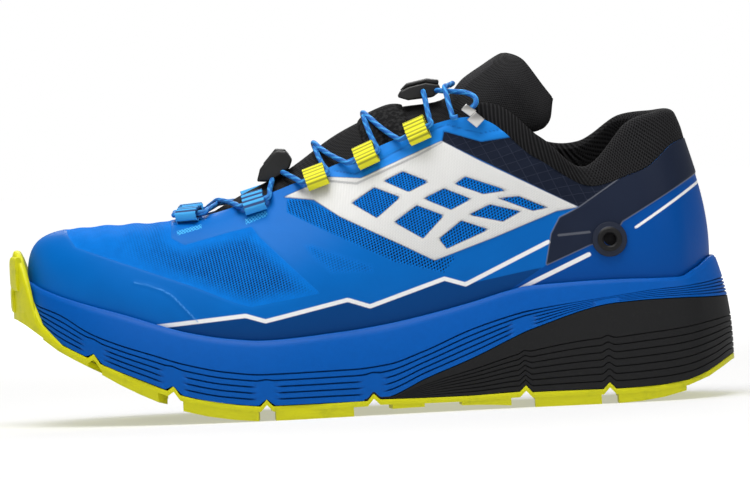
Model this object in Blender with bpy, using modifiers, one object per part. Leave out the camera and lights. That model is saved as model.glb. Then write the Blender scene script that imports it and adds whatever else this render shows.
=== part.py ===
"""Trail running shoe, left foot: a cemented sole in three layers, a hollow last-shaped upper
with moulded overlays, a padded tongue and collar, and a speed-lace cord with its locks.

Frame: metres, +Z up, ground at Z = 0. The toe points along -X, the heel along +X, and the
outer (lateral) side of this left shoe lies along -Y. The origin is under the middle of the sole.
"""

import bisect
import math

import bmesh
import bpy
from mathutils import Vector
from mathutils.bvhtree import BVHTree

# Lengths of the sole, in metres
LENGTH = 0.296
BALL_WIDTH = 0.107
TOE_WIDTH = 0.094
WAIST_WIDTH = 0.0835
HEEL_WIDTH = 0.083
TOE_SPRING = 0.044
HEEL_BEVEL = 0.0140
RUBBER = 0.0022
LUG_DEPTH = 0.0040
BUMPER = 0.0040
BUMPER_HEIGHT = 0.0240
NOTCH_RISE = 0.0028
NOTCH_HALF = 0.0026
RIM_HEIGHT = 0.0505
CUP_DEPTH = 0.0170
CUP_FLOOR = 0.0040
SIDE_TAPER = 0.0062
RIM_LAND = 0.0018
GROOVE_DEPTH = 0.0009
GROOVE_WIDTH = 0.0011
INSOLE = 0.0040

# Lengths of the upper and what it carries
HEEL_HEIGHT = 0.1196
INSTEP_HEIGHT = 0.1255
TOE_BOX_HEIGHT = 0.0800
COLLAR_WIDTH = 0.0680
THROAT_WIDTH = 0.0360
UPPER_WALL = 0.0020
OVERLAY = 0.0008
PADDING = 0.0085
PADDING_DROP = 0.30
TONGUE_HEIGHT = 0.1455
TONGUE_WIDTH = 0.0560
TONGUE_WALL = 0.0045
CLEARANCE = 0.0003

# Lengths of the lacing and its fittings
CORD = 0.0022
LOOP_WIDTH = 0.0088
LOOP_REACH = 0.0104
LOOP_WALL = 0.0011
DOCK_WIDTH = 0.0150
LOCK_WIDTH = 0.0150
POCKET = 0.0030
RING_REACH = 0.0072
RING_HEIGHT = 0.0016
RING_AT = 0.846
CLIP = (0.0088, 0.0058, 0.0028)


def table(columns, *rows):
    """Rows of a table as one list for each named column."""
    return dict(zip(columns.split(), zip(*rows)))


# Sole outline, a row for each place round the shoe: heel centre, lateral side to the toe
# (row 9), medial side back to the heel. along: share of LENGTH from the toe. across: share
# of the width named beside it. taper, bumper: shares of SIDE_TAPER and BUMPER.
OUTLINE = table(
    "along    width        across  taper  bumper",
    (1.000, HEEL_WIDTH,   0.006,  1.00,  0.00),
    (0.965, HEEL_WIDTH,  -0.320,  0.95,  0.00),
    (0.915, HEEL_WIDTH,  -0.460,  0.85,  0.00),
    (0.840, HEEL_WIDTH,  -0.502,  0.80,  0.00),
    (0.690, WAIST_WIDTH, -0.500,  0.80,  0.00),
    (0.520, WAIST_WIDTH, -0.556,  0.80,  0.00),
    (0.350, BALL_WIDTH,  -0.510,  0.75,  0.00),
    (0.175, TOE_WIDTH,   -0.490,  0.70,  0.00),
    (0.052, TOE_WIDTH,   -0.262,  0.35,  0.35),
    (0.000, TOE_WIDTH,    0.050,  0.00,  1.00),
    (0.052, TOE_WIDTH,    0.345,  0.35,  0.35),
    (0.165, TOE_WIDTH,    0.505,  0.70,  0.00),
    (0.310, BALL_WIDTH,   0.488,  0.75,  0.00),
    (0.490, WAIST_WIDTH,  0.500,  0.80,  0.00),
    (0.660, WAIST_WIDTH,  0.444,  0.80,  0.00),
    (0.830, HEEL_WIDTH,   0.490,  0.80,  0.00),
    (0.915, HEEL_WIDTH,   0.460,  0.85,  0.00),
    (0.965, HEEL_WIDTH,   0.330,  0.95,  0.00))

# Heights of the sole's side, a row for each station along the length. ground: share of
# TOE_SPRING before the middle and of HEEL_BEVEL behind it. lug: share of LUG_DEPTH.
# rim, wedge (top of the black foam), groove (top of the grooved band): shares of
# RIM_HEIGHT. cup: share of CUP_DEPTH.
SIDE = table(
    "along  ground lug   rim    groove wedge  cup",
    (0.000, 1.000, 0.10, 1.195, 1.060, 0.000, 0.50),
    (0.030, 0.880, 0.15, 1.125, 0.985, 0.000, 0.50),
    (0.061, 0.720, 0.20, 1.058, 0.915, 0.000, 0.55),
    (0.105, 0.555, 0.35, 0.978, 0.762, 0.000, 0.60),
    (0.145, 0.393, 0.75, 0.911, 0.663, 0.000, 0.62),
    (0.193, 0.232, 1.00, 0.820, 0.568, 0.000, 0.64),
    (0.236, 0.118, 1.00, 0.745, 0.485, 0.000, 0.65),
    (0.297, 0.030, 1.00, 0.677, 0.406, 0.000, 0.65),
    (0.348, 0.000, 0.95, 0.650, 0.376, 0.000, 0.65),
    (0.470, 0.000, 0.90, 0.693, 0.380, 0.090, 0.66),
    (0.517, 0.157, 0.50, 0.727, 0.404, 0.139, 0.68),
    (0.568, 0.171, 0.35, 0.780, 0.495, 0.270, 0.70),
    (0.635, 0.150, 0.40, 0.867, 0.650, 0.418, 0.75),
    (0.693, 0.070, 0.85, 0.956, 0.750, 0.568, 0.85),
    (0.716, 0.000, 0.98, 0.982, 0.780, 0.624, 0.90),
    (0.838, 0.000, 0.95, 1.004, 0.870, 0.810, 1.00),
    (0.899, 0.120, 0.70, 0.996, 0.905, 0.824, 1.00),
    (0.939, 0.330, 0.40, 0.994, 0.915, 0.822, 1.00),
    (0.973, 0.680, 0.20, 1.060, 0.930, 0.812, 1.00),
    (1.000, 1.000, 0.10, 1.140, 0.950, 0.805, 1.00))

# Full-width flex grooves under the sole, and edge lugs between them, as shares of LENGTH
NOTCHES = (0.111, 0.220, 0.348, 0.496, 0.707, 0.823)
EDGE_LUGS = table(
    "front  back",
    (0.040, 0.101),
    (0.121, 0.198),
    (0.232, 0.336),
    (0.360, 0.468),
    (0.522, 0.566),
    (0.618, 0.686),
    (0.719, 0.811),
    (0.835, 0.930))

# Middle lugs: place of the arrow's point, its reach sideways, as shares of LENGTH
# and half the sole's width; point is -1 where the arrow looks to the toe
MIDDLE_LUGS = table(
    "along  across reach  point",
    (0.066,  0.06, 0.34, -1),
    (0.132, -0.30, 0.24, -1),
    (0.132,  0.36, 0.24, -1),
    (0.172,  0.04, 0.22, -1),
    (0.240, -0.28, 0.26, -1),
    (0.240,  0.28, 0.26, -1),
    (0.284,  0.00, 0.26, -1),
    (0.366, -0.28, 0.26, -1),
    (0.366,  0.28, 0.26, -1),
    (0.410,  0.00, 0.26, -1),
    (0.768, -0.32, 0.24, 1),
    (0.768,  0.32, 0.24, 1),
    (0.888, -0.30, 0.22, 1),
    (0.888,  0.30, 0.22, 1))

# The last, a row for each place of OUTLINE. top_at, top_across, top_height: where the
# section ends at the collar or throat, as shares of LENGTH and the sizes named beside
# them. rise, flare, crown, drop: the section's two handles, as shares of its height and
# reach. pad: share of the section that the collar's padding takes.
LAST = table(
    "top_at  width         top_across height         top_height rise  flare  crown  drop  pad",
    (0.934, COLLAR_WIDTH,  0.000, HEEL_HEIGHT,    0.966, 0.38, 0.030, 0.55, 0.35, 0.15),
    (0.915, COLLAR_WIDTH, -0.200, HEEL_HEIGHT,    0.960, 0.38, 0.030, 0.50, 0.35, 0.17),
    (0.868, COLLAR_WIDTH, -0.370, HEEL_HEIGHT,    0.925, 0.38, 0.045, 0.45, 0.35, 0.27),
    (0.806, COLLAR_WIDTH, -0.470, HEEL_HEIGHT,    0.786, 0.38, 0.050, 0.40, 0.35, 0.11),
    (0.738, COLLAR_WIDTH, -0.490, HEEL_HEIGHT,    0.900, 0.36, 0.050, 0.40, 0.35, 0.09),
    (0.654, COLLAR_WIDTH, -0.385, INSTEP_HEIGHT,  0.985, 0.34, 0.040, 0.42, 0.32, 0.05),
    (0.480, THROAT_WIDTH, -0.500, INSTEP_HEIGHT,  0.832, 0.36, 0.065, 0.40, 0.32, 0.00),
    (0.330, THROAT_WIDTH, -0.450, INSTEP_HEIGHT,  0.702, 0.47, 0.070, 0.44, 0.28, 0.00),
    (0.257, THROAT_WIDTH, -0.240, TOE_BOX_HEIGHT, 1.030, 0.85, 0.030, 0.70, 0.11, 0.00),
    (0.240, THROAT_WIDTH,  0.040, TOE_BOX_HEIGHT, 1.020, 1.10, 0.000, 0.86, 0.05, 0.00),
    (0.257, THROAT_WIDTH,  0.320, TOE_BOX_HEIGHT, 1.030, 0.85, 0.030, 0.70, 0.11, 0.00),
    (0.330, THROAT_WIDTH,  0.520, INSTEP_HEIGHT,  0.702, 0.47, 0.060, 0.44, 0.28, 0.00),
    (0.480, THROAT_WIDTH,  0.570, INSTEP_HEIGHT,  0.835, 0.36, 0.045, 0.40, 0.32, 0.00),
    (0.654, COLLAR_WIDTH,  0.400, INSTEP_HEIGHT,  0.990, 0.34, 0.020, 0.42, 0.32, 0.05),
    (0.735, COLLAR_WIDTH,  0.480, HEEL_HEIGHT,    0.880, 0.36, 0.040, 0.40, 0.35, 0.09),
    (0.800, COLLAR_WIDTH,  0.450, HEEL_HEIGHT,    0.860, 0.38, 0.050, 0.40, 0.35, 0.13),
    (0.860, COLLAR_WIDTH,  0.370, HEEL_HEIGHT,    0.945, 0.38, 0.045, 0.45, 0.35, 0.27),
    (0.915, COLLAR_WIDTH,  0.200, HEEL_HEIGHT,    0.962, 0.38, 0.030, 0.50, 0.35, 0.17))
TOE_ROW = 9
ROWS = len(OUTLINE["along"])


# Reading the tables

def along_length(column, share):
    """Value of a SIDE column at a share of the length, on a curve that never overshoots."""
    xs, ys = SIDE["along"], SIDE[column]
    i = min(max(bisect.bisect_right(xs, share) - 1, 0), len(xs) - 2)

    def slope(k):
        if k <= 0 or k >= len(xs) - 1:
            return 0.0
        before = (ys[k] - ys[k - 1]) / (xs[k] - xs[k - 1])
        after = (ys[k + 1] - ys[k]) / (xs[k + 1] - xs[k])
        return 2 * before * after / (before + after) if before * after > 0 else 0.0

    width = xs[i + 1] - xs[i]
    s = min(max((share - xs[i]) / width, 0.0), 1.0)
    return ((1 + 2 * s) * (1 - s) ** 2 * ys[i] + s * (1 - s) ** 2 * width * slope(i)
            + s * s * (3 - 2 * s) * ys[i + 1] + s * s * (s - 1) * width * slope(i + 1))


def round_shoe(values, row):
    """Value at a fractional row, on a closed curve through all the rows."""
    i = math.floor(row)
    s = row - i
    a, b, c, d = (values[(i + k) % ROWS] for k in (-1, 0, 1, 2))
    return b + 0.5 * s * (c - a + s * (2 * a - 5 * b + 4 * c - d + s * (3 * (b - c) + d - a)))


def scaled(source, *names):
    """Product of a table's columns, row by row."""
    return [math.prod(parts) for parts in zip(*(source[name] for name in names))]


def centred():
    """Offset that puts the middle of the sole's width at Y = 0."""
    side = scaled(OUTLINE, "width", "across")
    reach = [round_shoe(side, k / 20) for k in range(ROWS * 20)]
    return -(max(reach) + min(reach)) / 2


MIDDLE = centred()
OUTLINE_Y = [MIDDLE + y for y in scaled(OUTLINE, "width", "across")]
TOP_Y = [MIDDLE + y for y in scaled(LAST, "width", "top_across")]
TOP_Z = scaled(LAST, "height", "top_height")


def station(share):
    """X of a share of the length."""
    return (share - 0.5) * LENGTH


def outline(row, inset=0.0):
    """Point of the sole's outline at a row, moved in by an inset."""
    point = Vector((station(round_shoe(OUTLINE["along"], row)), round_shoe(OUTLINE_Y, row)))
    return point - outward(row) * inset


def outward(row):
    """Level unit vector that points out of the outline."""
    step = 0.05
    ahead = Vector((round_shoe(OUTLINE["along"], row + step) * LENGTH, round_shoe(OUTLINE_Y, row + step)))
    behind = Vector((round_shoe(OUTLINE["along"], row - step) * LENGTH, round_shoe(OUTLINE_Y, row - step)))
    tangent = (ahead - behind).normalized()
    return Vector((-tangent.y, tangent.x))


def row_at(share, side, column=OUTLINE["along"]):
    """Row where a column of places passes a share of the length; side is -1 lateral, 1 medial."""
    low, high = (0.0, TOE_ROW) if side < 0 else (ROWS, TOE_ROW)
    for _ in range(40):
        middle = (low + high) / 2
        if round_shoe(column, middle) > share:
            low = middle
        else:
            high = middle
    return (low + high) / 2


# Heights of the sole along its length

def notch(share):
    """Rise of the sole's underside in the flex grooves."""
    reach = NOTCH_HALF / LENGTH
    return NOTCH_RISE * max(0.0, max(1 - abs(share - n) / reach for n in NOTCHES))


def ground(share):
    """Level of the lugs' soles: toe spring in front, heel bevel behind."""
    spring = TOE_SPRING if share < 0.4 else HEEL_BEVEL
    return spring * along_length("ground", share)


def tread(share, lift=0.0):
    """Underside of the rubber between the lugs; lift is its rise in a flex groove."""
    return ground(share) + LUG_DEPTH * along_length("lug", share) + lift


def rubber_top(share, lift=0.0):
    return tread(share, lift) + RUBBER


def rim(share, lift=0.0):
    return RIM_HEIGHT * along_length("rim", share)


def floor(share, lift=0.0):
    """Bottom of the cup that the upper stands in."""
    return rim(share) - CUP_DEPTH * along_length("cup", share)


def wedge(share):
    return RIM_HEIGHT * along_length("wedge", share)


def foam_edge(share, lift=0.0):
    """Lower edge of the blue foam on the outside."""
    return max(rubber_top(share, lift), wedge(share)) + CLEARANCE


def foam_base(share, lift=0.0):
    """Underside of the blue foam inside its edge."""
    return max(rubber_top(share, lift) + CLEARANCE, min(foam_edge(share), floor(share) - CUP_FLOOR))


# Making meshes

def material(name, colour, roughness, metallic=0.0):
    made = bpy.data.materials.new(name)
    made.use_nodes = True
    shader = made.node_tree.nodes["Principled BSDF"]
    shader.inputs["Base Color"].default_value = (*colour, 1.0)
    shader.inputs["Roughness"].default_value = roughness
    shader.inputs["Metallic"].default_value = metallic
    return made


def finish_mesh(name, mesh, finish, angle=40.0):
    """One named object of the shoe from a bmesh, its faces turned outwards."""
    bmesh.ops.recalc_face_normals(mesh, faces=mesh.faces)
    data = bpy.data.meshes.new(name)
    mesh.to_mesh(data)
    mesh.free()
    data.shade_smooth()
    data.set_sharp_from_angle(angle=math.radians(angle))
    data.materials.append(finish)
    made = bpy.data.objects.new(name, data)
    shoe.objects.link(made)
    return made


def loft(mesh, rings, closed=True):
    """Quads between rings of points; gives back the rings' vertices."""
    made = [[mesh.verts.new(point) for point in ring] for ring in rings]
    for lower, upper in zip(made, made[1:]):
        count = len(lower)
        for i in range(count if closed else count - 1):
            j = (i + 1) % count
            mesh.faces.new((lower[i], lower[j], upper[j], upper[i]))
    return made


def strip_cap(mesh, ring, ends):
    """Cap of a ring whose points pair across the shoe; ends says how many single points
    it has: 2 for a toe and a heel point, 0 where it is cut square in front."""
    count = len(ring)
    if ends == 2:
        half = count // 2
        pairs = [(ring[i], ring[count - i]) for i in range(1, half)]
        mesh.faces.new((ring[0], pairs[0][0], pairs[0][1]))
        mesh.faces.new((ring[half], pairs[-1][1], pairs[-1][0]))
    else:
        half = (count - 1) // 2
        pairs = [(ring[half + i], ring[half - i]) for i in range(1, half + 1)]
        mesh.faces.new((ring[half], pairs[0][0], pairs[0][1]))
    for (a, b), (c, d) in zip(pairs, pairs[1:]):
        mesh.faces.new((a, b, d, c))


def join_to(base, piece):
    """Piece becomes part of base; the piece itself is only a tool."""
    shoe.objects.unlink(piece)
    tools.objects.link(piece)
    piece.hide_render = True
    piece.display_type = "WIRE"
    joined = base.modifiers.new("join", "BOOLEAN")
    joined.operation = "UNION"
    joined.object = piece


def shell(name, grid, closed, thickness, offset, finish):
    """Open surface through a grid of points, thickened; offset 1 grows out, -1 grows in."""
    mesh = bmesh.new()
    loft(mesh, grid, closed)
    bmesh.ops.remove_doubles(mesh, verts=mesh.verts, dist=1e-6)
    made = finish_mesh(name, mesh, finish)
    wall = made.modifiers.new("wall", "SOLIDIFY")
    wall.thickness = thickness
    wall.offset = offset
    wall.use_even_offset = True
    return made


# The sole

SOLE_STEPS = 24
DISH_INSET = 0.0032
DISH_LAND = 0.0006
GROOVES = 3
HEEL_GROOVES = 3
LUG_REACH = 0.0135
LUG_STEPS = 3
ARROW = (0.0050, 0.0060)
LUG_ROOT = 0.0011


def stations():
    """Shares of the length, heel first, close together at both ends and at each flex groove."""
    reach = NOTCH_HALF / LENGTH
    edges = [n + k * reach for n in NOTCHES for k in (-1, 0, 1)]
    even = [0.5 - 0.5 * math.cos(math.pi * k / SOLE_STEPS) for k in range(1, SOLE_STEPS)]
    return sorted(edges + [s for s in even if all(abs(s - e) > 2 * reach for e in edges)], reverse=True)


def loop_rows(shares, from_heel=True):
    """Rows of a ring with a point at each share on both sides."""
    lateral = [row_at(share, -1) for share in shares]
    medial = [row_at(share, 1) for share in reversed(shares)]
    if from_heel:
        return [0.0] + lateral + [float(TOE_ROW)] + medial
    return lateral[::-1] + [0.0] + medial[::-1]


def share_of(row):
    return min(max(round_shoe(OUTLINE["along"], row), 0.0), 1.0)


def bumper(row):
    return max(0.0, 1.1 * round_shoe(OUTLINE["bumper"], row) - 0.1)


def side_inset(row, height):
    """How far the foam's side lies inside the outline at a height."""
    share = share_of(row)
    climb = (height - rubber_top(share)) / (rim(share) - rubber_top(share))
    lean = SIDE_TAPER * round_shoe(OUTLINE["taper"], row) * min(max(climb, 0.0), 1.0) ** 2.4
    return lean + BUMPER * bumper(row) + CLEARANCE * min(1.0, 3 * bumper(row))


def feather(row):
    """Inset of the upper's outer face where it stands in the cup."""
    return side_inset(row, rim(share_of(row))) + RIM_LAND + 2 * CLEARANCE


def share_at(point):
    """Share of the length where a point lies."""
    return min(max(point.x / LENGTH + 0.5, 0.0), 1.0)


def ring(rows, inset, height):
    """Points round the shoe: an inset for each row, and a height for each place along it,
    which is also told how far the flex grooves lift that row."""
    places = [outline(row, inset(row)) for row in rows]
    return [(*place, height(share_at(place), notch(share_of(row)))) for row, place in zip(rows, places)]


def side_rings(rows, low, high, count):
    """Rings up a foam side from low to high, pressed in at each of its grooves."""
    def band(share):
        return max(high(share) - low(share), 0.0)

    def at(share, line, step, lift=0.0):
        width = min(GROOVE_WIDTH, band(share) / count / 3)
        height = low(share) + band(share) * (line + 0.6) / count + step * width
        room = min(CLEARANCE, band(share) / (3 * count + 3))
        return max(height, low(share, lift) + room * (3 * line + step + 2))

    rings = [ring(rows, lambda r: side_inset(r, low(share_of(r))), low)]
    for line in range(count):
        for step in (-1, 0, 1):
            def depth(share, pressed=step == 0):
                return GROOVE_DEPTH * min(1.0, band(share) / (count * 0.002)) * pressed
            rings.append(ring(rows,
                              lambda r: side_inset(r, at(share_of(r), line, step)) + depth(share_of(r)),
                              lambda share, lift: at(share, line, step, lift)))
    return rings


def dish(row):
    """Inset of the blue foam's underside, which drops into the black foam at the heel."""
    share = share_of(row)
    drop = foam_edge(share) - foam_base(share)
    return side_inset(row, foam_edge(share)) + DISH_LAND + DISH_INSET * min(1.0, drop / CUP_FLOOR)


def build_midsole():
    rows = loop_rows(stations())

    def high(share):
        return max(RIM_HEIGHT * along_length("groove", share), foam_edge(share) + 4 * CLEARANCE)

    def shoulder(row):
        return (side_inset(row, foam_edge(share_of(row))) + dish(row)) / 2

    rings = [ring(rows, dish, foam_base), ring(rows, shoulder, foam_edge)]
    rings += side_rings(rows, foam_edge, high, GROOVES)
    rings.append(ring(rows, lambda r: side_inset(r, rim(share_of(r))), rim))
    rings.append(ring(rows, lambda r: feather(r) - 2 * CLEARANCE, rim))
    rings.append(ring(rows, lambda r: feather(r) - 2 * CLEARANCE, floor))
    mesh = bmesh.new()
    made = loft(mesh, rings)
    strip_cap(mesh, made[0], 2)
    strip_cap(mesh, made[-1], 2)
    finish_mesh("midsole", mesh, material("blue_foam", (0.02, 0.20, 0.72), 0.55))


def build_heel_foam():
    shares = [s for s in stations() if wedge(s) - rubber_top(s) > 4 * CLEARANCE]
    rows = loop_rows(shares, from_heel=False)

    def low(share, lift=0.0):
        return rubber_top(share, lift) + CLEARANCE

    def high(share, lift=0.0):
        return foam_edge(share) - CLEARANCE

    def edge(row):
        return side_inset(row, high(share_of(row)))

    rings = side_rings(rows, low, high, HEEL_GROOVES)
    rings.append(ring(rows, edge, high))
    rings.append(ring(rows, lambda r: (edge(r) + dish(r)) / 2 - CLEARANCE, high))
    rings.append(ring(rows, lambda r: dish(r) - CLEARANCE, lambda share, lift: foam_base(share) - CLEARANCE))
    mesh = bmesh.new()
    made = loft(mesh, rings)
    strip_cap(mesh, made[0], 1)
    strip_cap(mesh, made[-1], 1)
    finish_mesh("heel_foam", mesh, material("black_foam", (0.02, 0.02, 0.022), 0.6))


def prism(mesh, low, high):
    """Solid between two outlines of as many points."""
    bottom, top = loft(mesh, [low, high])
    mesh.faces.new(bottom)
    mesh.faces.new(top)


def edge_lug(mesh, front, back, side):
    """Lug along the sole's edge between two shares of the length."""
    rows = [row_at(front + (back - front) * k / LUG_STEPS, side) for k in range(LUG_STEPS + 1)]
    places = [(row, 0.0004) for row in rows] + [(row, LUG_REACH) for row in reversed(rows)]
    corners = [outline(row, inset) for row, inset in places]
    low = [(*corner, ground(share_at(corner))) for corner in corners]
    high = [(*corner, tread(share_at(corner)) + LUG_ROOT) for corner in corners]
    prism(mesh, low, high)


def middle_lug(mesh, along, across, reach, point):
    """Arrow-shaped lug; its wings trail away from its point."""
    half = (outline(row_at(along, 1)).y - outline(row_at(along, -1)).y) / 2
    middle = (outline(row_at(along, 1)).y + outline(row_at(along, -1)).y) / 2
    wing, arm = ARROW
    shape = [(0, 0), (wing, 1), (wing + arm, 1), (arm, 0), (wing + arm, -1), (wing, -1)]
    low, high = [], []
    for back, sideways in shape:
        x = station(along) - point * back
        share = x / LENGTH + 0.5
        y = middle + half * (across + reach * sideways)
        low.append((x, y, ground(share)))
        high.append((x, y, tread(share) + LUG_ROOT))
    prism(mesh, low, high)


def build_outsole():
    rows = loop_rows(stations())

    def wall_top(row):
        climb = max(0.0, (bumper(row) - 0.3) / 0.7) ** 1.2
        return rubber_top(share_of(row), notch(share_of(row))) + BUMPER_HEIGHT * climb

    def inner(row):
        return max(0.0005, BUMPER * bumper(row))

    rings = [ring(rows, lambda r: 0.0, tread),
             ring(rows, lambda r: 0.0, lambda share, lift: rubber_top(share, lift) - 0.0002),
             [(*outline(row, 0.15 * inner(row)), wall_top(row)) for row in rows],
             [(*outline(row, inner(row)), wall_top(row)) for row in rows],
             ring(rows, lambda r: inner(r) + 0.0001, rubber_top)]
    mesh = bmesh.new()
    made = loft(mesh, rings)
    strip_cap(mesh, made[0], 2)
    strip_cap(mesh, made[-1], 2)
    rubber = material("yellow_rubber", (0.72, 0.85, 0.02), 0.6)
    base = finish_mesh("outsole", mesh, rubber, 30.0)
    lugs = bmesh.new()
    for front, back in zip(EDGE_LUGS["front"], EDGE_LUGS["back"]):
        for side in (-1, 1):
            edge_lug(lugs, front, back, side)
    for along, across, reach, point in zip(*MIDDLE_LUGS.values()):
        middle_lug(lugs, along, across, reach, point)
    join_to(base, finish_mesh("lugs", lugs, rubber, 30.0))


def build_insole():
    shares = [0.5 + 0.5 * math.cos(math.pi * k / SOLE_STEPS) for k in range(1, SOLE_STEPS)]
    rows = loop_rows(shares)

    def inset(row):
        return feather(row) + UPPER_WALL + 3 * CLEARANCE

    def at(height):
        return lambda share, lift: floor(share) + 2 * CLEARANCE + height

    rings = [ring(rows, inset, at(0.0)), ring(rows, inset, at(1.5 * INSOLE)),
             ring(rows, lambda r: inset(r) + INSOLE, at(INSOLE))]
    mesh = bmesh.new()
    made = loft(mesh, rings)
    strip_cap(mesh, made[0], 2)
    strip_cap(mesh, made[-1], 2)
    finish_mesh("insole", mesh, material("insole_foam", (0.05, 0.05, 0.06), 0.9))


# The upper

COLUMNS = 3
CLIMB = (0.0, 0.09, 0.18, 0.27, 0.37, 0.49, 0.61, 0.74, 0.87, 1.0)


def section(row, s):
    """Point of the upper's outer face: s runs from the rim of the cup to the top edge."""
    share = share_of(row)
    foot = outline(row, feather(row))
    base = Vector((foot.x, foot.y, rim(share)))
    top = Vector((station(round_shoe(LAST["top_at"], row)), round_shoe(TOP_Y, row), round_shoe(TOP_Z, row)))
    out = Vector((*outward(row), 0.0))
    climb = top - base
    height = climb.z
    reach = -climb.dot(out)
    lean = Vector((climb.x, climb.y, 0.0)) + out * reach
    up = Vector((0, 0, height))
    low = (base + lean / 3 + out * (height * round_shoe(LAST["flare"], row))
           + up * round_shoe(LAST["rise"], row))
    high = (base + lean * 2 / 3 - out * (reach * (1 - round_shoe(LAST["crown"], row)))
            + up * (1 - round_shoe(LAST["drop"], row)))
    r = 1 - s
    return r ** 3 * base + 3 * r * r * s * low + 3 * r * s * s * high + s ** 3 * top


def normal(row, s):
    """Unit vector out of the upper's face."""
    step = 0.02
    along = section(row - step, s) - section(row + step, s)
    up = section(row, min(s + step, 1.0)) - section(row, s - step)
    return up.cross(along).normalized() * -1


def proud(row, s, height):
    return section(row, s) + normal(row, s) * height


def padded(row):
    """Share of the section that the collar's padding takes."""
    return max(0.0, round_shoe(LAST["pad"], row))


def on_face(row, s, height):
    """Point above the upper's built face, which is straight between its levels."""
    levels = [level * (1 - padded(row)) for level in CLIMB]
    i = min(max(bisect.bisect_right(levels, s) - 1, 0), len(levels) - 2)
    share = (s - levels[i]) / (levels[i + 1] - levels[i])
    low, high = proud(row, levels[i], height), proud(row, levels[i + 1], height)
    return low + (high - low) * share


def build_upper():
    rows = [k / COLUMNS for k in range(ROWS * COLUMNS)]
    grid = [ring(rows, feather, lambda share, lift: floor(share) + 2 * CLEARANCE)]
    grid += [[section(row, s * (1 - padded(row))) for row in rows] for s in CLIMB]
    knit = material("blue_knit", (0.01, 0.12, 0.62), 0.8)
    shell("upper", grid, True, UPPER_WALL, -1, knit)


# Padding round the collar, rows counted from the heel: lateral ones up, medial ones down

COLLAR_ROWS = 5
FRONT_PADDING = 0.0045


def pad_wall(row):
    """Thickness of the padding: full behind the ankle, thin at the throat."""
    return FRONT_PADDING + (PADDING - FRONT_PADDING) * math.cos(math.pi / 2 * row / COLLAR_ROWS) ** 0.7


def pad_ring(row):
    """Outline of the padding: outer face, roll over the top, lining down inside the wall."""
    edge = 1 - padded(row)
    size = (section(row, 1.0) - section(row, edge)).length
    start = edge + padded(row) * 2 * CLEARANCE / size
    wall = min(pad_wall(row), 2 * size)
    top = section(row, 1.0)
    out = normal(row, 1.0)
    up = (top - section(row, 0.97)).normalized()
    half = wall / 2
    roll = [top - out * half + (up * math.sin(a) + out * math.cos(a)) * half
            for a in (math.pi * k / 4 for k in range(5))]
    behind = UPPER_WALL + 2 * CLEARANCE
    low = edge - PADDING_DROP
    return ([section(row, start), section(row, (start + 1) / 2)] + roll
            + [proud(row, edge - 0.4 * PADDING_DROP, -wall), proud(row, low, -behind - wall / 4),
               proud(row, low, -behind), proud(row, edge - PADDING_DROP / 2, -behind),
               proud(row, start, -behind)])


def build_collar():
    mesh = bmesh.new()
    ends = COLLAR_ROWS * COLUMNS
    made = loft(mesh, [pad_ring(k / COLUMNS) for k in range(ends, -ends - 1, -1)])
    mesh.faces.new(made[0])
    mesh.faces.new(made[-1])
    finish_mesh("collar_padding", mesh, material("black_knit", (0.015, 0.015, 0.017), 0.9), 60.0)


# Overlays, cut from the upper's own faces: how far the toe cap and heel counter climb and how
# far down the eyestays reach, as shares of the section at each row of OUTLINE
TRIM = table(
    "cap   counter stay",
    (0.00, 0.52,   0.00),
    (0.00, 0.50,   0.00),
    (0.00, 0.40,   0.00),
    (0.00, 0.00,   0.06),
    (0.00, 0.00,   0.13),
    (0.00, 0.00,   0.19),
    (0.00, 0.00,   0.10),
    (0.32, 0.00,   0.00),
    (0.47, 0.00,   0.00),
    (0.50, 0.00,   0.00),
    (0.47, 0.00,   0.00),
    (0.32, 0.00,   0.00),
    (0.00, 0.00,   0.10),
    (0.00, 0.00,   0.19),
    (0.00, 0.00,   0.13),
    (0.00, 0.00,   0.06),
    (0.00, 0.40,   0.00),
    (0.00, 0.50,   0.00))
TRIM_FOOT = 0.012
TRIM_LEAST = 0.06
OVERLAY_GAP = 0.0005
CAP_COLUMNS = (19, 35)
COUNTER_COLUMNS = (-7, 7)
STAY_COLUMNS = (11, 19)


def overlay(name, first, last, low, high, finish):
    """Moulded layer between two lines on the upper, a hair above its face."""
    grid = []
    for row in (k / COLUMNS for k in range(first, last + 1)):
        levels = [min(max(level * (1 - padded(row)), low(row)), high(row)) for level in CLIMB]
        grid.append([on_face(row, level, OVERLAY_GAP) for level in levels])
    shell(name, grid, False, OVERLAY, 1, finish)


def build_overlays():
    film = material("blue_film", (0.01, 0.16, 0.66), 0.35)
    stay = material("light_blue_film", (0.05, 0.30, 0.80), 0.35)

    def foot(row):
        return TRIM_FOOT

    overlay("toe_cap", *CAP_COLUMNS, foot, lambda r: max(round_shoe(TRIM["cap"], r), TRIM_LEAST), film)
    overlay("heel_counter", *COUNTER_COLUMNS, foot,
            lambda r: max(round_shoe(TRIM["counter"], r), TRIM_LEAST), film)

    def stay_top(row):
        return 1 - padded(row) - 0.01

    def stay_foot(row):
        return stay_top(row) - max(round_shoe(TRIM["stay"], row), 0.04)

    overlay("eyestay_lateral", *STAY_COLUMNS, stay_foot, stay_top, stay)
    overlay("eyestay_medial", *(ROWS * COLUMNS - k for k in reversed(STAY_COLUMNS)), stay_foot, stay_top,
            stay)


# Tongue: five points across at each place, from the lateral edge over the crown

TUCKED = table(
    "row   rise   under  inside",
    (8.70, -0.40, 0.12,  0.00),
    (8.50, -0.36, 0.03,  0.00),
    (8.00, -0.14, 0.00,  0.00),
    (7.50,  0.04, 0.00,  0.00),
    (7.00,  0.26, 0.00,  0.00),
    (6.50,  0.42, 0.00,  0.00),
    (6.00,  0.84, 0.00,  0.00),
    (5.60,  0.80, 0.00,  0.40),
    (5.25,  0.40, 0.00,  1.00))
TONGUE_RISE = 0.0120
TONGUE_LEAN = 0.0060
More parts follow.
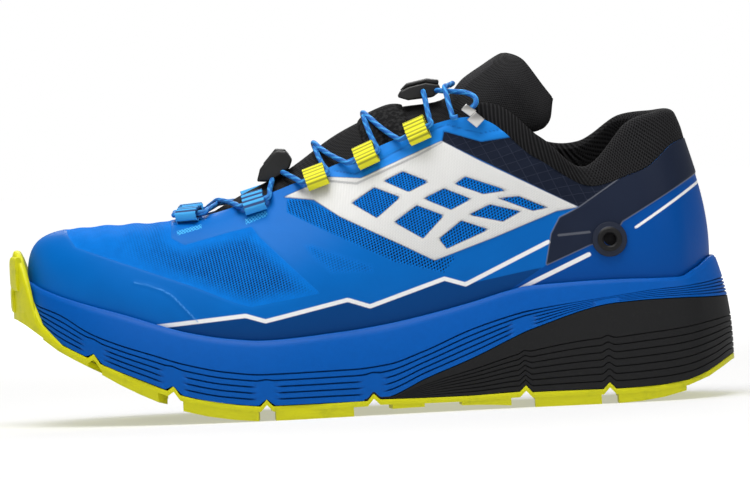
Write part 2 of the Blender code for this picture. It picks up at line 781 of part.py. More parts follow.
# Free top: places as shares of LENGTH, TONGUE_WIDTH and TONGUE_HEIGHT
FREE_TOP = table(
    "centre_at centre_height shoulder_at shoulder_across shoulder_height side_at side_across side_height",
    (0.640,    0.925,        0.665,      0.29,           0.885,          0.712,  0.35,       0.770),
    (0.668,    0.960,        0.692,      0.30,           0.922,          0.737,  0.37,       0.800),
    (0.690,    0.992,        0.708,      0.26,           0.965,          0.746,  0.35,       0.860))
TONGUE_ACROSS = 10


def through(points, count):
    """Points on a smooth curve through a few of them, evenly by their own spacing."""
    last = len(points) - 1
    made = []
    for k in range(count + 1):
        place = last * k / count
        i = min(int(place), last - 1)
        s = place - i
        a, b, c, d = (points[min(max(i + j, 0), last)] for j in (-1, 0, 1, 2))
        made.append(b + 0.5 * s * (c - a + s * (2 * a - 5 * b + 4 * c - d + s * (3 * (b - c) + d - a))))
    return made


def tucked_points(row, rise, under, inside):
    """Across the throat: both edges lie under the upper, the middle stands above it."""
    behind = UPPER_WALL + 4 * CLEARANCE + FRONT_PADDING * inside
    lateral, medial = section(row, 1.0 - under), section(ROWS - row, 1.0 - under)
    crown = (lateral + medial) / 2 + Vector((-TONGUE_LEAN * rise, 0, TONGUE_RISE * rise))
    near = 0.97 - under
    return [proud(row, near - 0.09, -behind - CLEARANCE), proud(row, near, -behind), crown,
            proud(ROWS - row, near, -behind), proud(ROWS - row, near - 0.09, -behind - CLEARANCE)]


def free_points(*shares):
    """Across the tongue above the throat."""
    centre_at, centre_height, shoulder_at, shoulder_across, shoulder_height = shares[:5]
    side_at, side_across, side_height = shares[5:]
    shoulder = Vector((station(shoulder_at), MIDDLE, shoulder_height * TONGUE_HEIGHT))
    side = Vector((station(side_at), MIDDLE, side_height * TONGUE_HEIGHT))
    crown = Vector((station(centre_at), MIDDLE, centre_height * TONGUE_HEIGHT))
    out = Vector((0, TONGUE_WIDTH, 0))
    return [side - out * side_across, shoulder - out * shoulder_across, crown,
            shoulder + out * shoulder_across, side + out * side_across]


def tongue_grid():
    lines = [tucked_points(*place) for place in zip(*TUCKED.values())]
    lines += [free_points(*place) for place in zip(*FREE_TOP.values())]
    return [through(line, TONGUE_ACROSS) for line in lines]


def build_tongue():
    shell("tongue", tongue_grid(), False, TONGUE_WALL, -1,
          material("black_padding", (0.018, 0.018, 0.02), 0.9))


# Lacing: loops of webbing along both sides of the throat, and the cord that runs through them.
# along: share of LENGTH. drop: how far its middle lies under the throat's edge, as a share of
# LOOP_REACH. over: 1 where the loop lies on the eyestay.

LOOPS = table(
    "along  drop  over",
    (0.276, 0.80, 0),
    (0.360, 0.72, 0),
    (0.444, 0.66, 1),
    (0.514, 0.58, 1),
    (0.585, 0.50, 1))
LOOP_SHAPE = ((1, 0), (0.68, 1), (-0.68, 1), (-1, 0), (-0.68, -1), (0.68, -1))
YELLOW_LOOPS = (2, 3, 4)
RUN_POINTS = 13
PULLS = 300
RIDGE_HEIGHT = 0.1184
RIDGE_SLOPE = 0.515
PIVOT_DEPTH = 0.034
LIFT = 0.0013
END_LIFT = 0.0020
TUBE_SIDES = 5


def turned(origin, along, up, out, places):
    """Points given as steps along three directions from an origin."""
    return [origin + along * a + up * b + out * c for a, b, c in places]


def loop_frame(place, side):
    """Middle of a lace loop, and its directions: towards the heel, up to the throat, and out."""
    row = row_at(LOOPS["along"][place], side, LAST["top_at"])
    drop = LOOP_REACH * LOOPS["drop"][place]
    s = 1 - drop / ((section(row, 1.0) - section(row, 0.9)).length * 10)
    out = normal(row, s)
    along = section(row + side * 0.05, s) - section(row - side * 0.05, s)
    along = (along - out * along.dot(out)).normalized()
    up = out.cross(along) * -side
    seat = 2 * CLEARANCE + LOOPS["over"][place] * (OVERLAY_GAP + OVERLAY)
    return section(row, s) + out * (seat + LOOP_WALL + CLEARANCE + CORD / 2), along, up, out


def build_loop(place, side):
    middle, along, up, out = loop_frame(place, side)
    half = LOOP_REACH / 2, CORD / 2 + CLEARANCE + LOOP_WALL
    rings = []
    for end, wall in ((-1, 0), (1, 0), (1, LOOP_WALL), (-1, LOOP_WALL), (-1, 0)):
        steps = [(end * LOOP_WIDTH / 2, u * (half[0] - wall), v * (half[1] - wall)) for u, v in LOOP_SHAPE]
        rings.append(turned(middle, along, up, out, steps))
    mesh = bmesh.new()
    loft(mesh, rings)
    bmesh.ops.remove_doubles(mesh, verts=mesh.verts, dist=1e-6)
    finish = yellow_webbing if place in YELLOW_LOOPS else blue_webbing
    finish_mesh("lace_loop_%s_%d" % ("lateral" if side < 0 else "medial", place + 1), mesh, finish)


def face_trees(*names):
    """Search trees of the built faces of some pieces."""
    bpy.context.view_layer.update()
    built = bpy.context.evaluated_depsgraph_get()
    return [BVHTree.FromObject(bpy.data.objects[name], built) for name in names]


def lifted(point, need):
    """Point moved out of the foot's middle until it clears the outermost faces there."""
    pivot = Vector((point.x + RIDGE_SLOPE * PIVOT_DEPTH, MIDDLE,
                    RIDGE_HEIGHT + RIDGE_SLOPE * point.x - PIVOT_DEPTH))
    out = (point - pivot).normalized()
    far = pivot + out * 4 * PIVOT_DEPTH
    for tree in lacing_base:
        _, _, _, way = tree.ray_cast(far, -out)
        if way is not None:
            point = pivot + out * max((point - pivot).length, 4 * PIVOT_DEPTH - way + need)
    for tree in lacing_base:
        place, face_out, _, gap = tree.find_nearest(point)
        if gap < need and (point - place).dot(face_out) > 0:
            point = point + face_out * (need - gap)
    return point


def draped(start, end, count, clear, lift=0.0):
    """Path pulled taut between two short straight ends over the tongue and the upper. Its
    middle keeps a further lift from them."""
    first, last = start[1], end[1]
    points = [first.lerp(last, k / count) for k in range(count + 1)]
    for _ in range(PULLS):
        for i in range(1, count):
            slack = max(0.0, 1 - 3 * abs(i / count - 0.5))
            points[i] = lifted((points[i - 1] + points[i + 1]) / 2, clear + lift * slack)
    return [start[0]] + points + [end[0]]


def tube(mesh, path):
    """Round cord along a path, with flat ends."""
    rings = []
    side = None
    for i, point in enumerate(path):
        tangent = (path[min(i + 1, len(path) - 1)] - path[max(i - 1, 0)]).normalized()
        side = tangent.orthogonal() if side is None else side - tangent * side.dot(tangent)
        side.normalize()
        across = tangent.cross(side)
        rings.append([point + (side * math.cos(a) + across * math.sin(a)) * CORD / 2
                      for a in (2 * math.pi * k / TUBE_SIDES for k in range(TUBE_SIDES))])
    ends = loft(mesh, rings)
    mesh.faces.new(ends[0])
    mesh.faces.new(ends[-1])


def loop_end(place, side, way):
    """Where the cord ends inside a loop, and where it leaves it; way 1 is its heel end."""
    middle, along, _, _ = loop_frame(place, side)
    return middle + along * (way * CLEARANCE), middle + along * (way * (LOOP_WIDTH / 2 + CORD * 0.8))


def build_crossing(place):
    """Two cords that cross over the tongue from one pair of loops to the next."""
    runs = []
    for side, lift in ((-1, 0.0), (1, LIFT)):
        mesh = bmesh.new()
        tube(mesh, draped(loop_end(place, side, 1), loop_end(place + 1, -side, -1), RUN_POINTS,
                          CORD / 2 + 3 * CLEARANCE, lift))
        name = "lace_crossing_%d" % (place + 1) if side < 0 else "over"
        runs.append(finish_mesh(name, mesh, blue_cord, 60.0))
    join_to(*runs)


def build_front_bar():
    mesh = bmesh.new()
    tube(mesh, draped(loop_end(0, -1, -1), loop_end(0, 1, -1), RUN_POINTS, CORD / 2 + 2 * CLEARANCE))
    finish_mesh("lace_front_bar", mesh, blue_cord, 60.0)


# Fittings. Side outlines: steps along the tongue's ridge and above it, from the place named
# beside them, which is its X, its height and the ridge's slope.

DOCK_AT = (-0.0372, 0.0992, 28)
DOCK = ((-0.0090, 0.0000), (-0.0080, 0.0072), (0.0050, 0.0082), (0.0088, 0.0040), (0.0088, 0.0004),
        (0.0070, 0.0004), (0.0070, 0.0034), (0.0052, 0.0052), (-0.0058, 0.0052), (-0.0070, 0.0034),
        (-0.0070, 0.0000))
LOCK_AT = (0.0242, 0.1284, 12)
LOCK = ((-0.0094, 0.0020), (-0.0070, 0.0056), (0.0010, 0.0070), (0.0108, 0.0018), (0.0100, -0.0004),
        (0.0046, -0.0016), (-0.0060, 0.0006))
LOCK_PORT = (0.0255, 0.1302)
LOCK_EXITS = ((0.0354, 0.1326), (0.0310, 0.1302))
CLIP_PLACE = (4.98, 0.945)
POCKET_ROWS = (6.35, 7.25)
POCKET_REACH = (2.8, 7.2)


def side_solid(name, place, steps, width, finish):
    """Block with a side outline, as wide as told."""
    x, z, slope = place[0], place[1], math.radians(place[2])
    along, up = Vector((math.cos(slope), 0, math.sin(slope))), Vector((-math.sin(slope), 0, math.cos(slope)))
    out = Vector((0, 1, 0))
    low, high = ([(a, b, end * width / 2) for a, b in steps] for end in (-1, 1))
    middle = Vector((x, MIDDLE, z))
    mesh = bmesh.new()
    prism(mesh, turned(middle, along, up, out, low), turned(middle, along, up, out, high))
    finish_mesh(name, mesh, finish)


def tongue_face(across, along, height):
    """Point above the tongue's face; across and along count its points and lines."""
    def at(a, b):
        i, j = min(int(b), len(grid) - 2), min(int(a), TONGUE_ACROSS - 1)
        s, t = b - i, a - j
        low = grid[i][j].lerp(grid[i][j + 1], t)
        return low.lerp(grid[i + 1][j].lerp(grid[i + 1][j + 1], t), s)

    grid = tongue_grid()
    step = 0.1
    out = (at(across + step, along) - at(across - step, along)).cross(
        at(across, along + step) - at(across, along - step)).normalized()
    return at(across, along) + out * (height if out.z > 0 else -height)


def build_pocket():
    """Elastic band on the tongue that the lock tucks into."""
    alongs = [POCKET_ROWS[0] + (POCKET_ROWS[1] - POCKET_ROWS[0]) * k / 4 for k in range(5)]
    acrosses = [POCKET_REACH[0] + (POCKET_REACH[1] - POCKET_REACH[0]) * k / 6 for k in range(7)]
    low = [[tongue_face(a, b, 3 * CLEARANCE) for a in acrosses] for b in alongs]
    swell = [[POCKET * (0.35 + 0.65 * math.sin(math.pi * i / 6) ** 0.6) * (0.5 if j in (0, 4) else 1.0)
              for i in range(7)] for j in range(5)]
    high = [[tongue_face(a, b, 3 * CLEARANCE + swell[j][i]) for i, a in enumerate(acrosses)]
            for j, b in enumerate(alongs)]
    mesh = bmesh.new()
    below, above = loft(mesh, low, False), loft(mesh, high, False)
    for lower, upper in ((below[0], above[0]), (below[-1], above[-1]),
                         ([r[0] for r in below], [r[0] for r in above]),
                         ([r[-1] for r in below], [r[-1] for r in above])):
        for i in range(len(lower) - 1):
            mesh.faces.new((lower[i], lower[i + 1], upper[i + 1], upper[i]))
    finish_mesh("lace_pocket", mesh, elastic)


RING_PROFILE = ((0.36, 0.0), (1.0, 0.0), (0.97, 0.4), (0.70, 0.55), (0.64, 1.0), (0.42, 1.0))
RING_SIDES = 12
RING_CLIMB = 0.36


def build_ring(side):
    """Gaiter ring on the heel quarter, turned from its profile."""
    row = row_at(RING_AT, side)
    out, middle = normal(row, RING_CLIMB), section(row, RING_CLIMB)
    up = (Vector((0, 0, 1)) - out * out.z).normalized()
    along = up.cross(out)
    rings = []
    for reach, height in RING_PROFILE + RING_PROFILE[:1]:
        steps = [(RING_REACH * reach * math.cos(a), RING_REACH * reach * math.sin(a),
                  2 * CLEARANCE + RING_HEIGHT * height)
                 for a in (2 * math.pi * k / RING_SIDES for k in range(RING_SIDES))]
        rings.append(turned(middle, along, up, out, steps))
    mesh = bmesh.new()
    loft(mesh, rings)
    bmesh.ops.remove_doubles(mesh, verts=mesh.verts, dist=1e-6)
    finish_mesh("gaiter_ring_%s" % ("lateral" if side < 0 else "medial"), mesh, black_plastic)


def clip_frame():
    """Middle of the cord clip on the lateral side, and its directions."""
    row, s = CLIP_PLACE
    out = normal(row, s)
    along = (section(row - 0.05, s) - section(row + 0.05, s)).normalized()
    return proud(row, s, 2 * CLEARANCE + OVERLAY_GAP + OVERLAY + CLIP[2] / 2), along, out.cross(along), out


def build_clip():
    middle, along, up, out = clip_frame()
    corners = [(-1, -1), (1, -1), (1, 1), (-1, 1)]
    low, high = ([(a * CLIP[0] / 2, b * CLIP[1] / 2, level * CLIP[2] / 2) for a, b in corners]
                 for level in (-1, 1))
    mesh = bmesh.new()
    prism(mesh, turned(middle, along, up, out, low), turned(middle, along, up, out, high))
    finish_mesh("cord_clip", mesh, silver)


def build_lock_run(side):
    """Cord from the last loop up to the side of the lock."""
    last = len(LOOPS["along"]) - 1
    near = Vector((LOCK_PORT[0], MIDDLE + side * (LOCK_WIDTH / 2 + 2 * CLEARANCE), LOCK_PORT[1]))
    mesh = bmesh.new()
    tube(mesh, draped(loop_end(last, side, 1), (near, near + Vector((0, side * 0.002, 0))),
                      RUN_POINTS, CORD / 2 + 2 * CLEARANCE))
    finish_mesh("lace_run_%s" % ("lateral" if side < 0 else "medial"), mesh, blue_cord, 60.0)


def build_lace_end(number, start, leaving, stop, arriving):
    """Free end of the cord, from the lock to the clip, over whatever lies below it."""
    path = draped((start, start + leaving), (stop, stop + arriving), RUN_POINTS,
                  CORD / 2 + 2 * CLEARANCE, END_LIFT)
    mesh = bmesh.new()
    tube(mesh, path)
    lacing_base.append(BVHTree.FromBMesh(mesh))
    mesh.free()
    curve = bpy.data.curves.new("lace_end_%d" % number, "CURVE")
    curve.dimensions = "3D"
    curve.bevel_depth = CORD / 2
    curve.bevel_resolution = 2
    curve.use_fill_caps = True
    line = curve.splines.new("POLY")
    line.points.add(len(path) - 1)
    for point, place in zip(line.points, path):
        point.co = (*place, 1.0)
    curve.materials.append(blue_cord)
    shoe.objects.link(bpy.data.objects.new("lace_end_%d" % number, curve))


def build_lace_ends():
    """One end leaves the side of the lock for the top of the clip. The other leaves its back,
    passes over the first and meets the clip's front."""
    middle, along, up, _ = clip_frame()
    (back_x, back_z), (side_x, side_z) = LOCK_EXITS
    start = Vector((side_x, MIDDLE - LOCK_WIDTH / 2 - 2 * CLEARANCE, side_z))
    build_lace_end(1, start, Vector((0, -CORD, 0)), middle + up * (CLIP[1] / 2 + 2 * CLEARANCE), up * CORD)
    start = Vector((back_x, MIDDLE - CORD, back_z))
    build_lace_end(2, start, Vector((CORD / 2, -CORD, CORD / 3)),
                   middle - along * (CLIP[0] / 2 + 2 * CLEARANCE), along * -CORD)


# The shoe

for old in list(bpy.data.objects):
    bpy.data.objects.remove(old)
shoe = bpy.data.collections.new("trail_running_shoe")
tools = bpy.data.collections.new("tools")
bpy.context.scene.collection.children.link(shoe)
bpy.context.scene.collection.children.link(tools)

build_outsole()
build_heel_foam()
build_midsole()
build_insole()
build_upper()
build_collar()
build_overlays()
build_tongue()

yellow_webbing = material("yellow_webbing", (0.72, 0.85, 0.02), 0.8)
blue_webbing = material("blue_webbing", (0.02, 0.20, 0.72), 0.8)
blue_cord = material("blue_cord", (0.03, 0.25, 0.85), 0.7)
black_plastic = material("black_plastic", (0.02, 0.02, 0.022), 0.5)
elastic = material("black_elastic", (0.02, 0.02, 0.022), 0.8)
silver = material("silver_clip", (0.75, 0.75, 0.77), 0.35, 1.0)

for shoe_side in (-1, 1):
    for number in range(len(LOOPS["along"])):
        build_loop(number, shoe_side)
    build_ring(shoe_side)
build_pocket()
side_solid("lace_dock", DOCK_AT, DOCK, DOCK_WIDTH, black_plastic)
side_solid("lace_lock", LOCK_AT, LOCK, LOCK_WIDTH, black_plastic)
build_clip()
lacing_base = face_trees("tongue", "upper", "collar_padding", "eyestay_lateral", "eyestay_medial",
                         "lace_pocket")
for number in range(len(LOOPS["along"]) - 1):
    build_crossing(number)
build_front_bar()
for shoe_side in (-1, 1):
    build_lock_run(shoe_side)
build_lace_ends()
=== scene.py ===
import math

import bmesh
import bpy
import numpy as np
from mathutils import Matrix, Vector


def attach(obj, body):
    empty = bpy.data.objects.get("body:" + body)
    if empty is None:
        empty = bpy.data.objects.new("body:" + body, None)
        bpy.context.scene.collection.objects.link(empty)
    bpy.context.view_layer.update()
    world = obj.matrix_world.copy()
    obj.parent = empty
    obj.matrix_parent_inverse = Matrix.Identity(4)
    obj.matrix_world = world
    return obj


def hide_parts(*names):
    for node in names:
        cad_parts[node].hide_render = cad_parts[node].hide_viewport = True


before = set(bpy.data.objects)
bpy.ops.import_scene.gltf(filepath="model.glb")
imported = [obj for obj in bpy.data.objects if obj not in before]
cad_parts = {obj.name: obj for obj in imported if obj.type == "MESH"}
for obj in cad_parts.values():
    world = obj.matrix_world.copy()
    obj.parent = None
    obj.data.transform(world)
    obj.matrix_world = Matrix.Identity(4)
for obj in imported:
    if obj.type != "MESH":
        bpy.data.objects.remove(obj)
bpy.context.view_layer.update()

# Camera: square on to the outer side of the shoe, from far off with a long lens, a little above
# the sole's level. It is rolled by the angle at which the shoe stands in the photo.
aim, distance, climb, roll = Vector((0.0023, -0.020, 0.0708)), 6.0, math.radians(2.0), math.radians(-2.7)
ahead = Vector((0, math.cos(climb), -math.sin(climb)))
level, rise = Vector((1, 0, 0)), Vector((0, math.sin(climb), math.cos(climb)))
across = level * math.cos(roll) + rise * math.sin(roll)
upright = rise * math.cos(roll) - level * math.sin(roll)
lens = bpy.data.cameras.new("camera")
lens.sensor_width = 36.0
lens.lens = 36.0 * distance / 0.3081
lens.clip_start, lens.clip_end = 1.0, 30.0
camera = bpy.data.objects.new("camera", lens)
camera.matrix_world = Matrix.Translation(aim - ahead * distance) @ Matrix(
    (across, upright, -ahead)).transposed().to_4x4()
bpy.context.scene.collection.objects.link(camera)
bpy.context.scene.camera = camera

# Cord: a thin round lace of braided blue polyester with two lighter yarns in its jacket. It is
# braided on a machine, cut to length, drawn through the loops and pulled taut, so every run is
# swept along the line it takes over the tongue.
class Value:
    """One shader output; the usual signs between two of them add a maths node."""

    def __init__(self, finish, socket):
        self.finish, self.socket = finish, socket

    def maths(self, operation, *others):
        return self.finish.node("Math", {"operation": operation}, dict(enumerate((self,) + others)))

    def __add__(self, other):
        return self.maths("ADD", other)

    def __sub__(self, other):
        return self.maths("SUBTRACT", other)

    def __rsub__(self, other):
        return (self * -1) + other

    def __mul__(self, other):
        return self.maths("MULTIPLY", other)

    __radd__, __rmul__ = __add__, __mul__

    def above(self, edge, soft):
        """0 below the edge and 1 above it, with a soft step between."""
        return self.finish.node("MapRange", {"interpolation_type": "SMOOTHSTEP"},
                                {0: self, 1: edge - soft, 2: edge + soft})

    def within(self, half, soft):
        """1 near zero, 0 farther off than half."""
        return 1 - self.maths("ABSOLUTE").above(half, soft)


class Finish:
    """A material at work: every node of its tree comes from one method."""

    def __init__(self, name, **plain):
        self.material = bpy.data.materials.new(name)
        self.material.use_nodes = True
        self.tree = self.material.node_tree
        self.shader = self.tree.nodes["Principled BSDF"]
        for socket, value in plain.items():
            self.plug(self.shader.inputs[socket.replace("_", " ").title().replace("Ior", "IOR")], value)

    def plug(self, socket, value):
        if isinstance(value, Value):
            self.tree.links.new(value.socket, socket)
        else:
            socket.default_value = (*value, 1.0) if socket.type == "RGBA" else value

    def node(self, kind, settings, sockets, out=0):
        made = self.tree.nodes.new("ShaderNode" + kind)
        for name, value in settings.items():
            setattr(made, name, value)
        for name, value in sockets.items():
            self.plug(made.inputs[name], value)
        return Value(self, made.outputs[out])

    def attribute(self, name):
        return self.node("Attribute", {"attribute_name": name}, {}, "Fac")

    def place(self):
        return self.node("TexCoord", {}, {}, "Object")

    def noise(self, scale, detail=2.0, roughness=0.5, stretch=(1, 1, 1)):
        place = self.node("Mapping", {}, {0: self.place(), 3: stretch})
        return self.node("TexNoise", {}, {"Vector": place, "Scale": scale, "Detail": detail,
                                          "Roughness": roughness})

    def blend(self, factor, low, high):
        return self.node("Mix", {"data_type": "RGBA"}, {0: factor, 6: low, 7: high}, 2)

    def between(self, factor, low, high):
        return self.node("Mix", {}, {0: factor, 2: low, 3: high})

    def bump(self, height, depth, strength=1.0):
        """Relief of a depth in metres from a height between 0 and 1."""
        self.plug(self.shader.inputs["Normal"], self.node(
            "Bump", {}, {"Height": height, "Distance": depth, "Strength": strength}))

    def wear(self, *objects):
        for made in objects:
            made.data.materials.clear()
            made.data.materials.append(self.material)


def smooth_line(points, steps):
    """Points on a soft curve through a few, so many steps from each to the next."""
    points = np.asarray(points, float)
    padded = np.vstack([2 * points[0] - points[1], points, 2 * points[-1] - points[-2]])
    made = []
    for i in range(len(points) - 1):
        a, b, c, d = padded[i:i + 4]
        for s in np.arange(steps) / steps:
            made.append(b + 0.5 * s * (c - a + s * (2 * a - 5 * b + 4 * c - d + s * (3 * (b - c) + d - a))))
    return np.array(made + [points[-1]])


def skin(name, grid, closed=(False, False), caps=(), angle=60, **facts):
    """Mesh over a grid of points in metres. closed: whether its lines and its rows run round.
    facts are numbers for each point, which the finish reads."""
    lines, rows = grid.shape[:2]
    number = np.arange(lines * rows).reshape(lines, rows)
    a = number if closed[0] else number[:-1]
    b = np.roll(number, -1, 0) if closed[0] else number[1:]
    if closed[1]:
        corners = a, np.roll(a, -1, 1), np.roll(b, -1, 1), b
    else:
        corners = a[:, :-1], a[:, 1:], b[:, 1:], b[:, :-1]
    faces = np.stack([c.ravel() for c in corners], 1).tolist()
    for line in caps:
        faces.append(number[line].tolist())
    mesh = bpy.data.meshes.new(name)
    mesh.from_pydata(grid.reshape(-1, 3).tolist(), [], faces)
    for fact, values in facts.items():
        mesh.attributes.new(fact, "FLOAT", "POINT").data.foreach_set("value", values.ravel())
    made = bpy.data.objects.new(name, mesh)
    bpy.context.scene.collection.objects.link(made)
    whole = bmesh.new()
    whole.from_mesh(mesh)
    bmesh.ops.recalc_face_normals(whole, faces=whole.faces)
    whole.to_mesh(mesh)
    whole.free()
    smoothed(made, angle)
    return made


def smoothed(made, angle):
    bpy.ops.object.select_all(action="DESELECT")
    bpy.context.view_layer.objects.active = made
    made.select_set(True)
    bpy.ops.object.shade_smooth_by_angle(angle=math.radians(angle))


def swept(name, path, reach, sides=14):
    """Round cord of a radius along a path, with its place along and round it as facts."""
    tangent = np.gradient(path, axis=0)
    tangent /= np.linalg.norm(tangent, axis=1)[:, None]
    side = np.cross(tangent[0], (0.3, 0.2, 1.0))
    sides_at = []
    for way in tangent:
        side = side - way * side.dot(way)
        side /= np.linalg.norm(side)
        sides_at.append(side)
    sides_at = np.array(sides_at)
    other = np.cross(tangent, sides_at)
    turn = np.arange(sides) / sides * 2 * math.pi
    grid = (path[:, None] + reach * (sides_at[:, None] * np.cos(turn)[None, :, None]
                                     + other[:, None] * np.sin(turn)[None, :, None]))
    gone = np.concatenate([[0], np.cumsum(np.linalg.norm(np.diff(path, axis=0), axis=1))])
    return skin(name, grid, (False, True), (0, -1),
                along=np.repeat(gone * 1e3, sides), turn=np.tile(np.arange(sides) / sides, len(path)))


cord = Finish("braided_cord", roughness=0.6, specular_ior_level=0.3)
along, turn = cord.attribute("along"), cord.attribute("turn")
streak = ((turn * 6.2832) * 3 + along * 0.9).maths("SINE").above(0.45, 0.35)
plait = ((along * 5.2 + turn * 12.566).maths("SINE") * (along * 5.2 - turn * 12.566).maths("SINE")
         * 0.5 + 0.5)
shade = cord.blend(plait * 0.55, (0.012, 0.14, 0.50), (0.006, 0.075, 0.30))
cord.plug(cord.shader.inputs["Base Color"], cord.blend(streak * 0.8, shade, (0.05, 0.36, 0.78)))
cord.bump(plait, 0.00012, 0.8)

cord_pieces, cord_paths = {}, {}
for name, points in {
    "crossing_1_under": ((-73.3, -15.7, 85.1), (-67.7, -17.5, 85.4), (-65.7, -11.0, 86.3),
        (-63.7, -4.5, 87.2), (-61.7, 1.9, 88.1), (-59.3, 8.4, 88.2), (-56.8, 14.9, 88.3),
        (-54.4, 22.0, 88.1), (-53.0, 25.5, 87.4), (-47.4, 25.8, 89.0)),
    "crossing_1_over": ((-73.0, 21.0, 85.1), (-67.3, 22.4, 85.4), (-65.5, 15.8, 86.7),
        (-63.7, 9.2, 88.1), (-61.9, 2.7, 89.4), (-59.4, -3.9, 89.3), (-56.7, -10.6, 88.8),
        (-54.0, -17.5, 87.9), (-52.6, -21.2, 87.3), (-46.9, -21.5, 88.7)),
    "crossing_2_under": ((-46.4, -21.5, 88.9), (-40.7, -21.7, 90.4), (-39.9, -14.4, 93.7),
        (-38.9, -6.9, 96.7), (-37.9, 0.7, 99.7), (-35.2, 8.2, 99.4), (-32.1, 15.6, 98.3),
        (-28.9, 23.1, 97.1), (-27.4, 26.8, 96.5), (-21.8, 26.9, 98.4)),
    "crossing_2_over": ((-46.8, 25.8, 89.1), (-41.2, 26.0, 90.7), (-40.3, 18.8, 94.4),
        (-39.3, 11.3, 97.6), (-38.2, 3.9, 100.9), (-35.4, -3.7, 100.4), (-31.9, -11.2, 98.7),
        (-28.4, -18.7, 97.0), (-26.7, -22.4, 96.1), (-21.1, -22.6, 98.0)),
    "crossing_3_under": ((-20.5, -22.7, 98.1), (-15.0, -22.9, 100.0), (-15.7, -15.4, 104.6),
        (-16.1, -7.5, 108.7), (-16.5, 0.5, 112.9), (-14.1, 8.5, 111.5), (-11.0, 16.1, 108.8),
        (-7.9, 24.1, 106.1), (-6.0, 27.4, 104.1), (-0.6, 27.9, 106.3)),
    "crossing_3_over": ((-21.2, 26.9, 98.5), (-15.7, 27.1, 100.4), (-16.3, 18.6, 105.5),
        (-16.7, 10.7, 109.9), (-17.1, 2.7, 114.4), (-14.2, -5.0, 112.1), (-10.8, -12.4, 108.8),
        (-7.4, -19.8, 105.6), (-5.5, -23.3, 103.7), (-0.1, -23.8, 105.9)),
    "crossing_4_under": ((0.5, -23.9, 106.1), (5.8, -24.5, 108.4), (4.9, -16.5, 114.6),
        (4.0, -8.5, 120.8), (3.5, -0.0, 126.1), (5.9, 8.9, 124.7), (9.8, 17.1, 120.2),
        (13.7, 25.4, 115.7), (15.7, 29.5, 113.4), (21.1, 30.1, 115.6)),
    "crossing_4_over": ((-0.1, 27.9, 106.6), (5.3, 28.4, 108.8), (4.4, 20.5, 115.3),
        (3.5, 12.6, 121.8), (3.0, 4.1, 127.3), (5.8, -4.9, 125.3), (9.8, -13.2, 120.4),
        (13.9, -21.5, 115.4), (15.9, -25.7, 112.9), (21.3, -26.5, 115.1)),
    "front_bar": ((-73.9, -15.5, 85.1), (-79.5, -13.7, 84.7), (-79.4, -8.6, 84.7),
        (-79.4, -3.5, 84.7), (-79.4, 1.6, 84.7), (-79.4, 6.7, 84.7), (-79.3, 11.8, 84.7),
        (-79.3, 16.9, 84.7), (-79.3, 19.5, 84.7), (-73.6, 20.8, 85.0)),
    "run_lateral": ((21.9, -26.6, 115.3), (27.3, -27.3, 117.4), (26.9, -24.5, 119.4),
        (26.6, -21.7, 121.4), (26.2, -18.9, 123.5), (25.9, -16.1, 125.5), (25.6, -13.3, 127.5),
        (25.2, -10.4, 129.5), (25.0, -9.0, 130.5), (25.0, -7.0, 130.5)),
    "run_medial": ((21.6, 30.1, 115.8), (27.0, 30.8, 118.0), (26.7, 27.7, 119.9),
        (26.4, 24.7, 121.8), (26.1, 21.7, 123.8), (25.8, 18.7, 125.7), (25.5, 15.7, 127.6),
        (25.2, 12.7, 129.5), (25.0, 11.2, 130.5), (25.0, 9.2, 130.5)),
    "end_1": ((30.5, -7.0, 130.6), (31.0, -9.6, 130.7), (34.2, -14.0, 130.4), (38.2, -18.6, 130.1),
        (42.4, -23.4, 129.6), (45.8, -27.2, 127.9), (46.3, -29.2, 125.4), (44.2, -28.9, 123.2)),
    "end_2": ((36.1, -1.1, 132.4), (37.2, -3.3, 133.2), (36.0, -8.2, 132.8), (34.9, -13.1, 132.5),
        (33.8, -18.0, 132.2), (34.4, -21.0, 128.9), (35.2, -23.8, 125.2), (36.1, -26.6, 121.6),
        (36.5, -27.9, 119.8), (38.6, -28.3, 119.9)),
}.items():
    path = smooth_line(np.array(points) / 1e3, 5)
    settle = np.sin(np.linspace(0, math.pi, len(path)))[:, None] ** 1.5
    path = cord_paths[name] = path + settle * np.array(
        {"crossing_3": (-4.2, 0, -3.2), "crossing_4": (-3.4, 0, -4.8)}.get(name[:10], (0, 0, 0))) / 1e3
    cord_pieces[name] = swept(name + "_line", path, 0.0011)
    cord.wear(cord_pieces[name])
for piece, made in cord_pieces.items():
    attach(made, "root")
    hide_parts("lace_" + piece.removesuffix("_under").removesuffix("_over"))

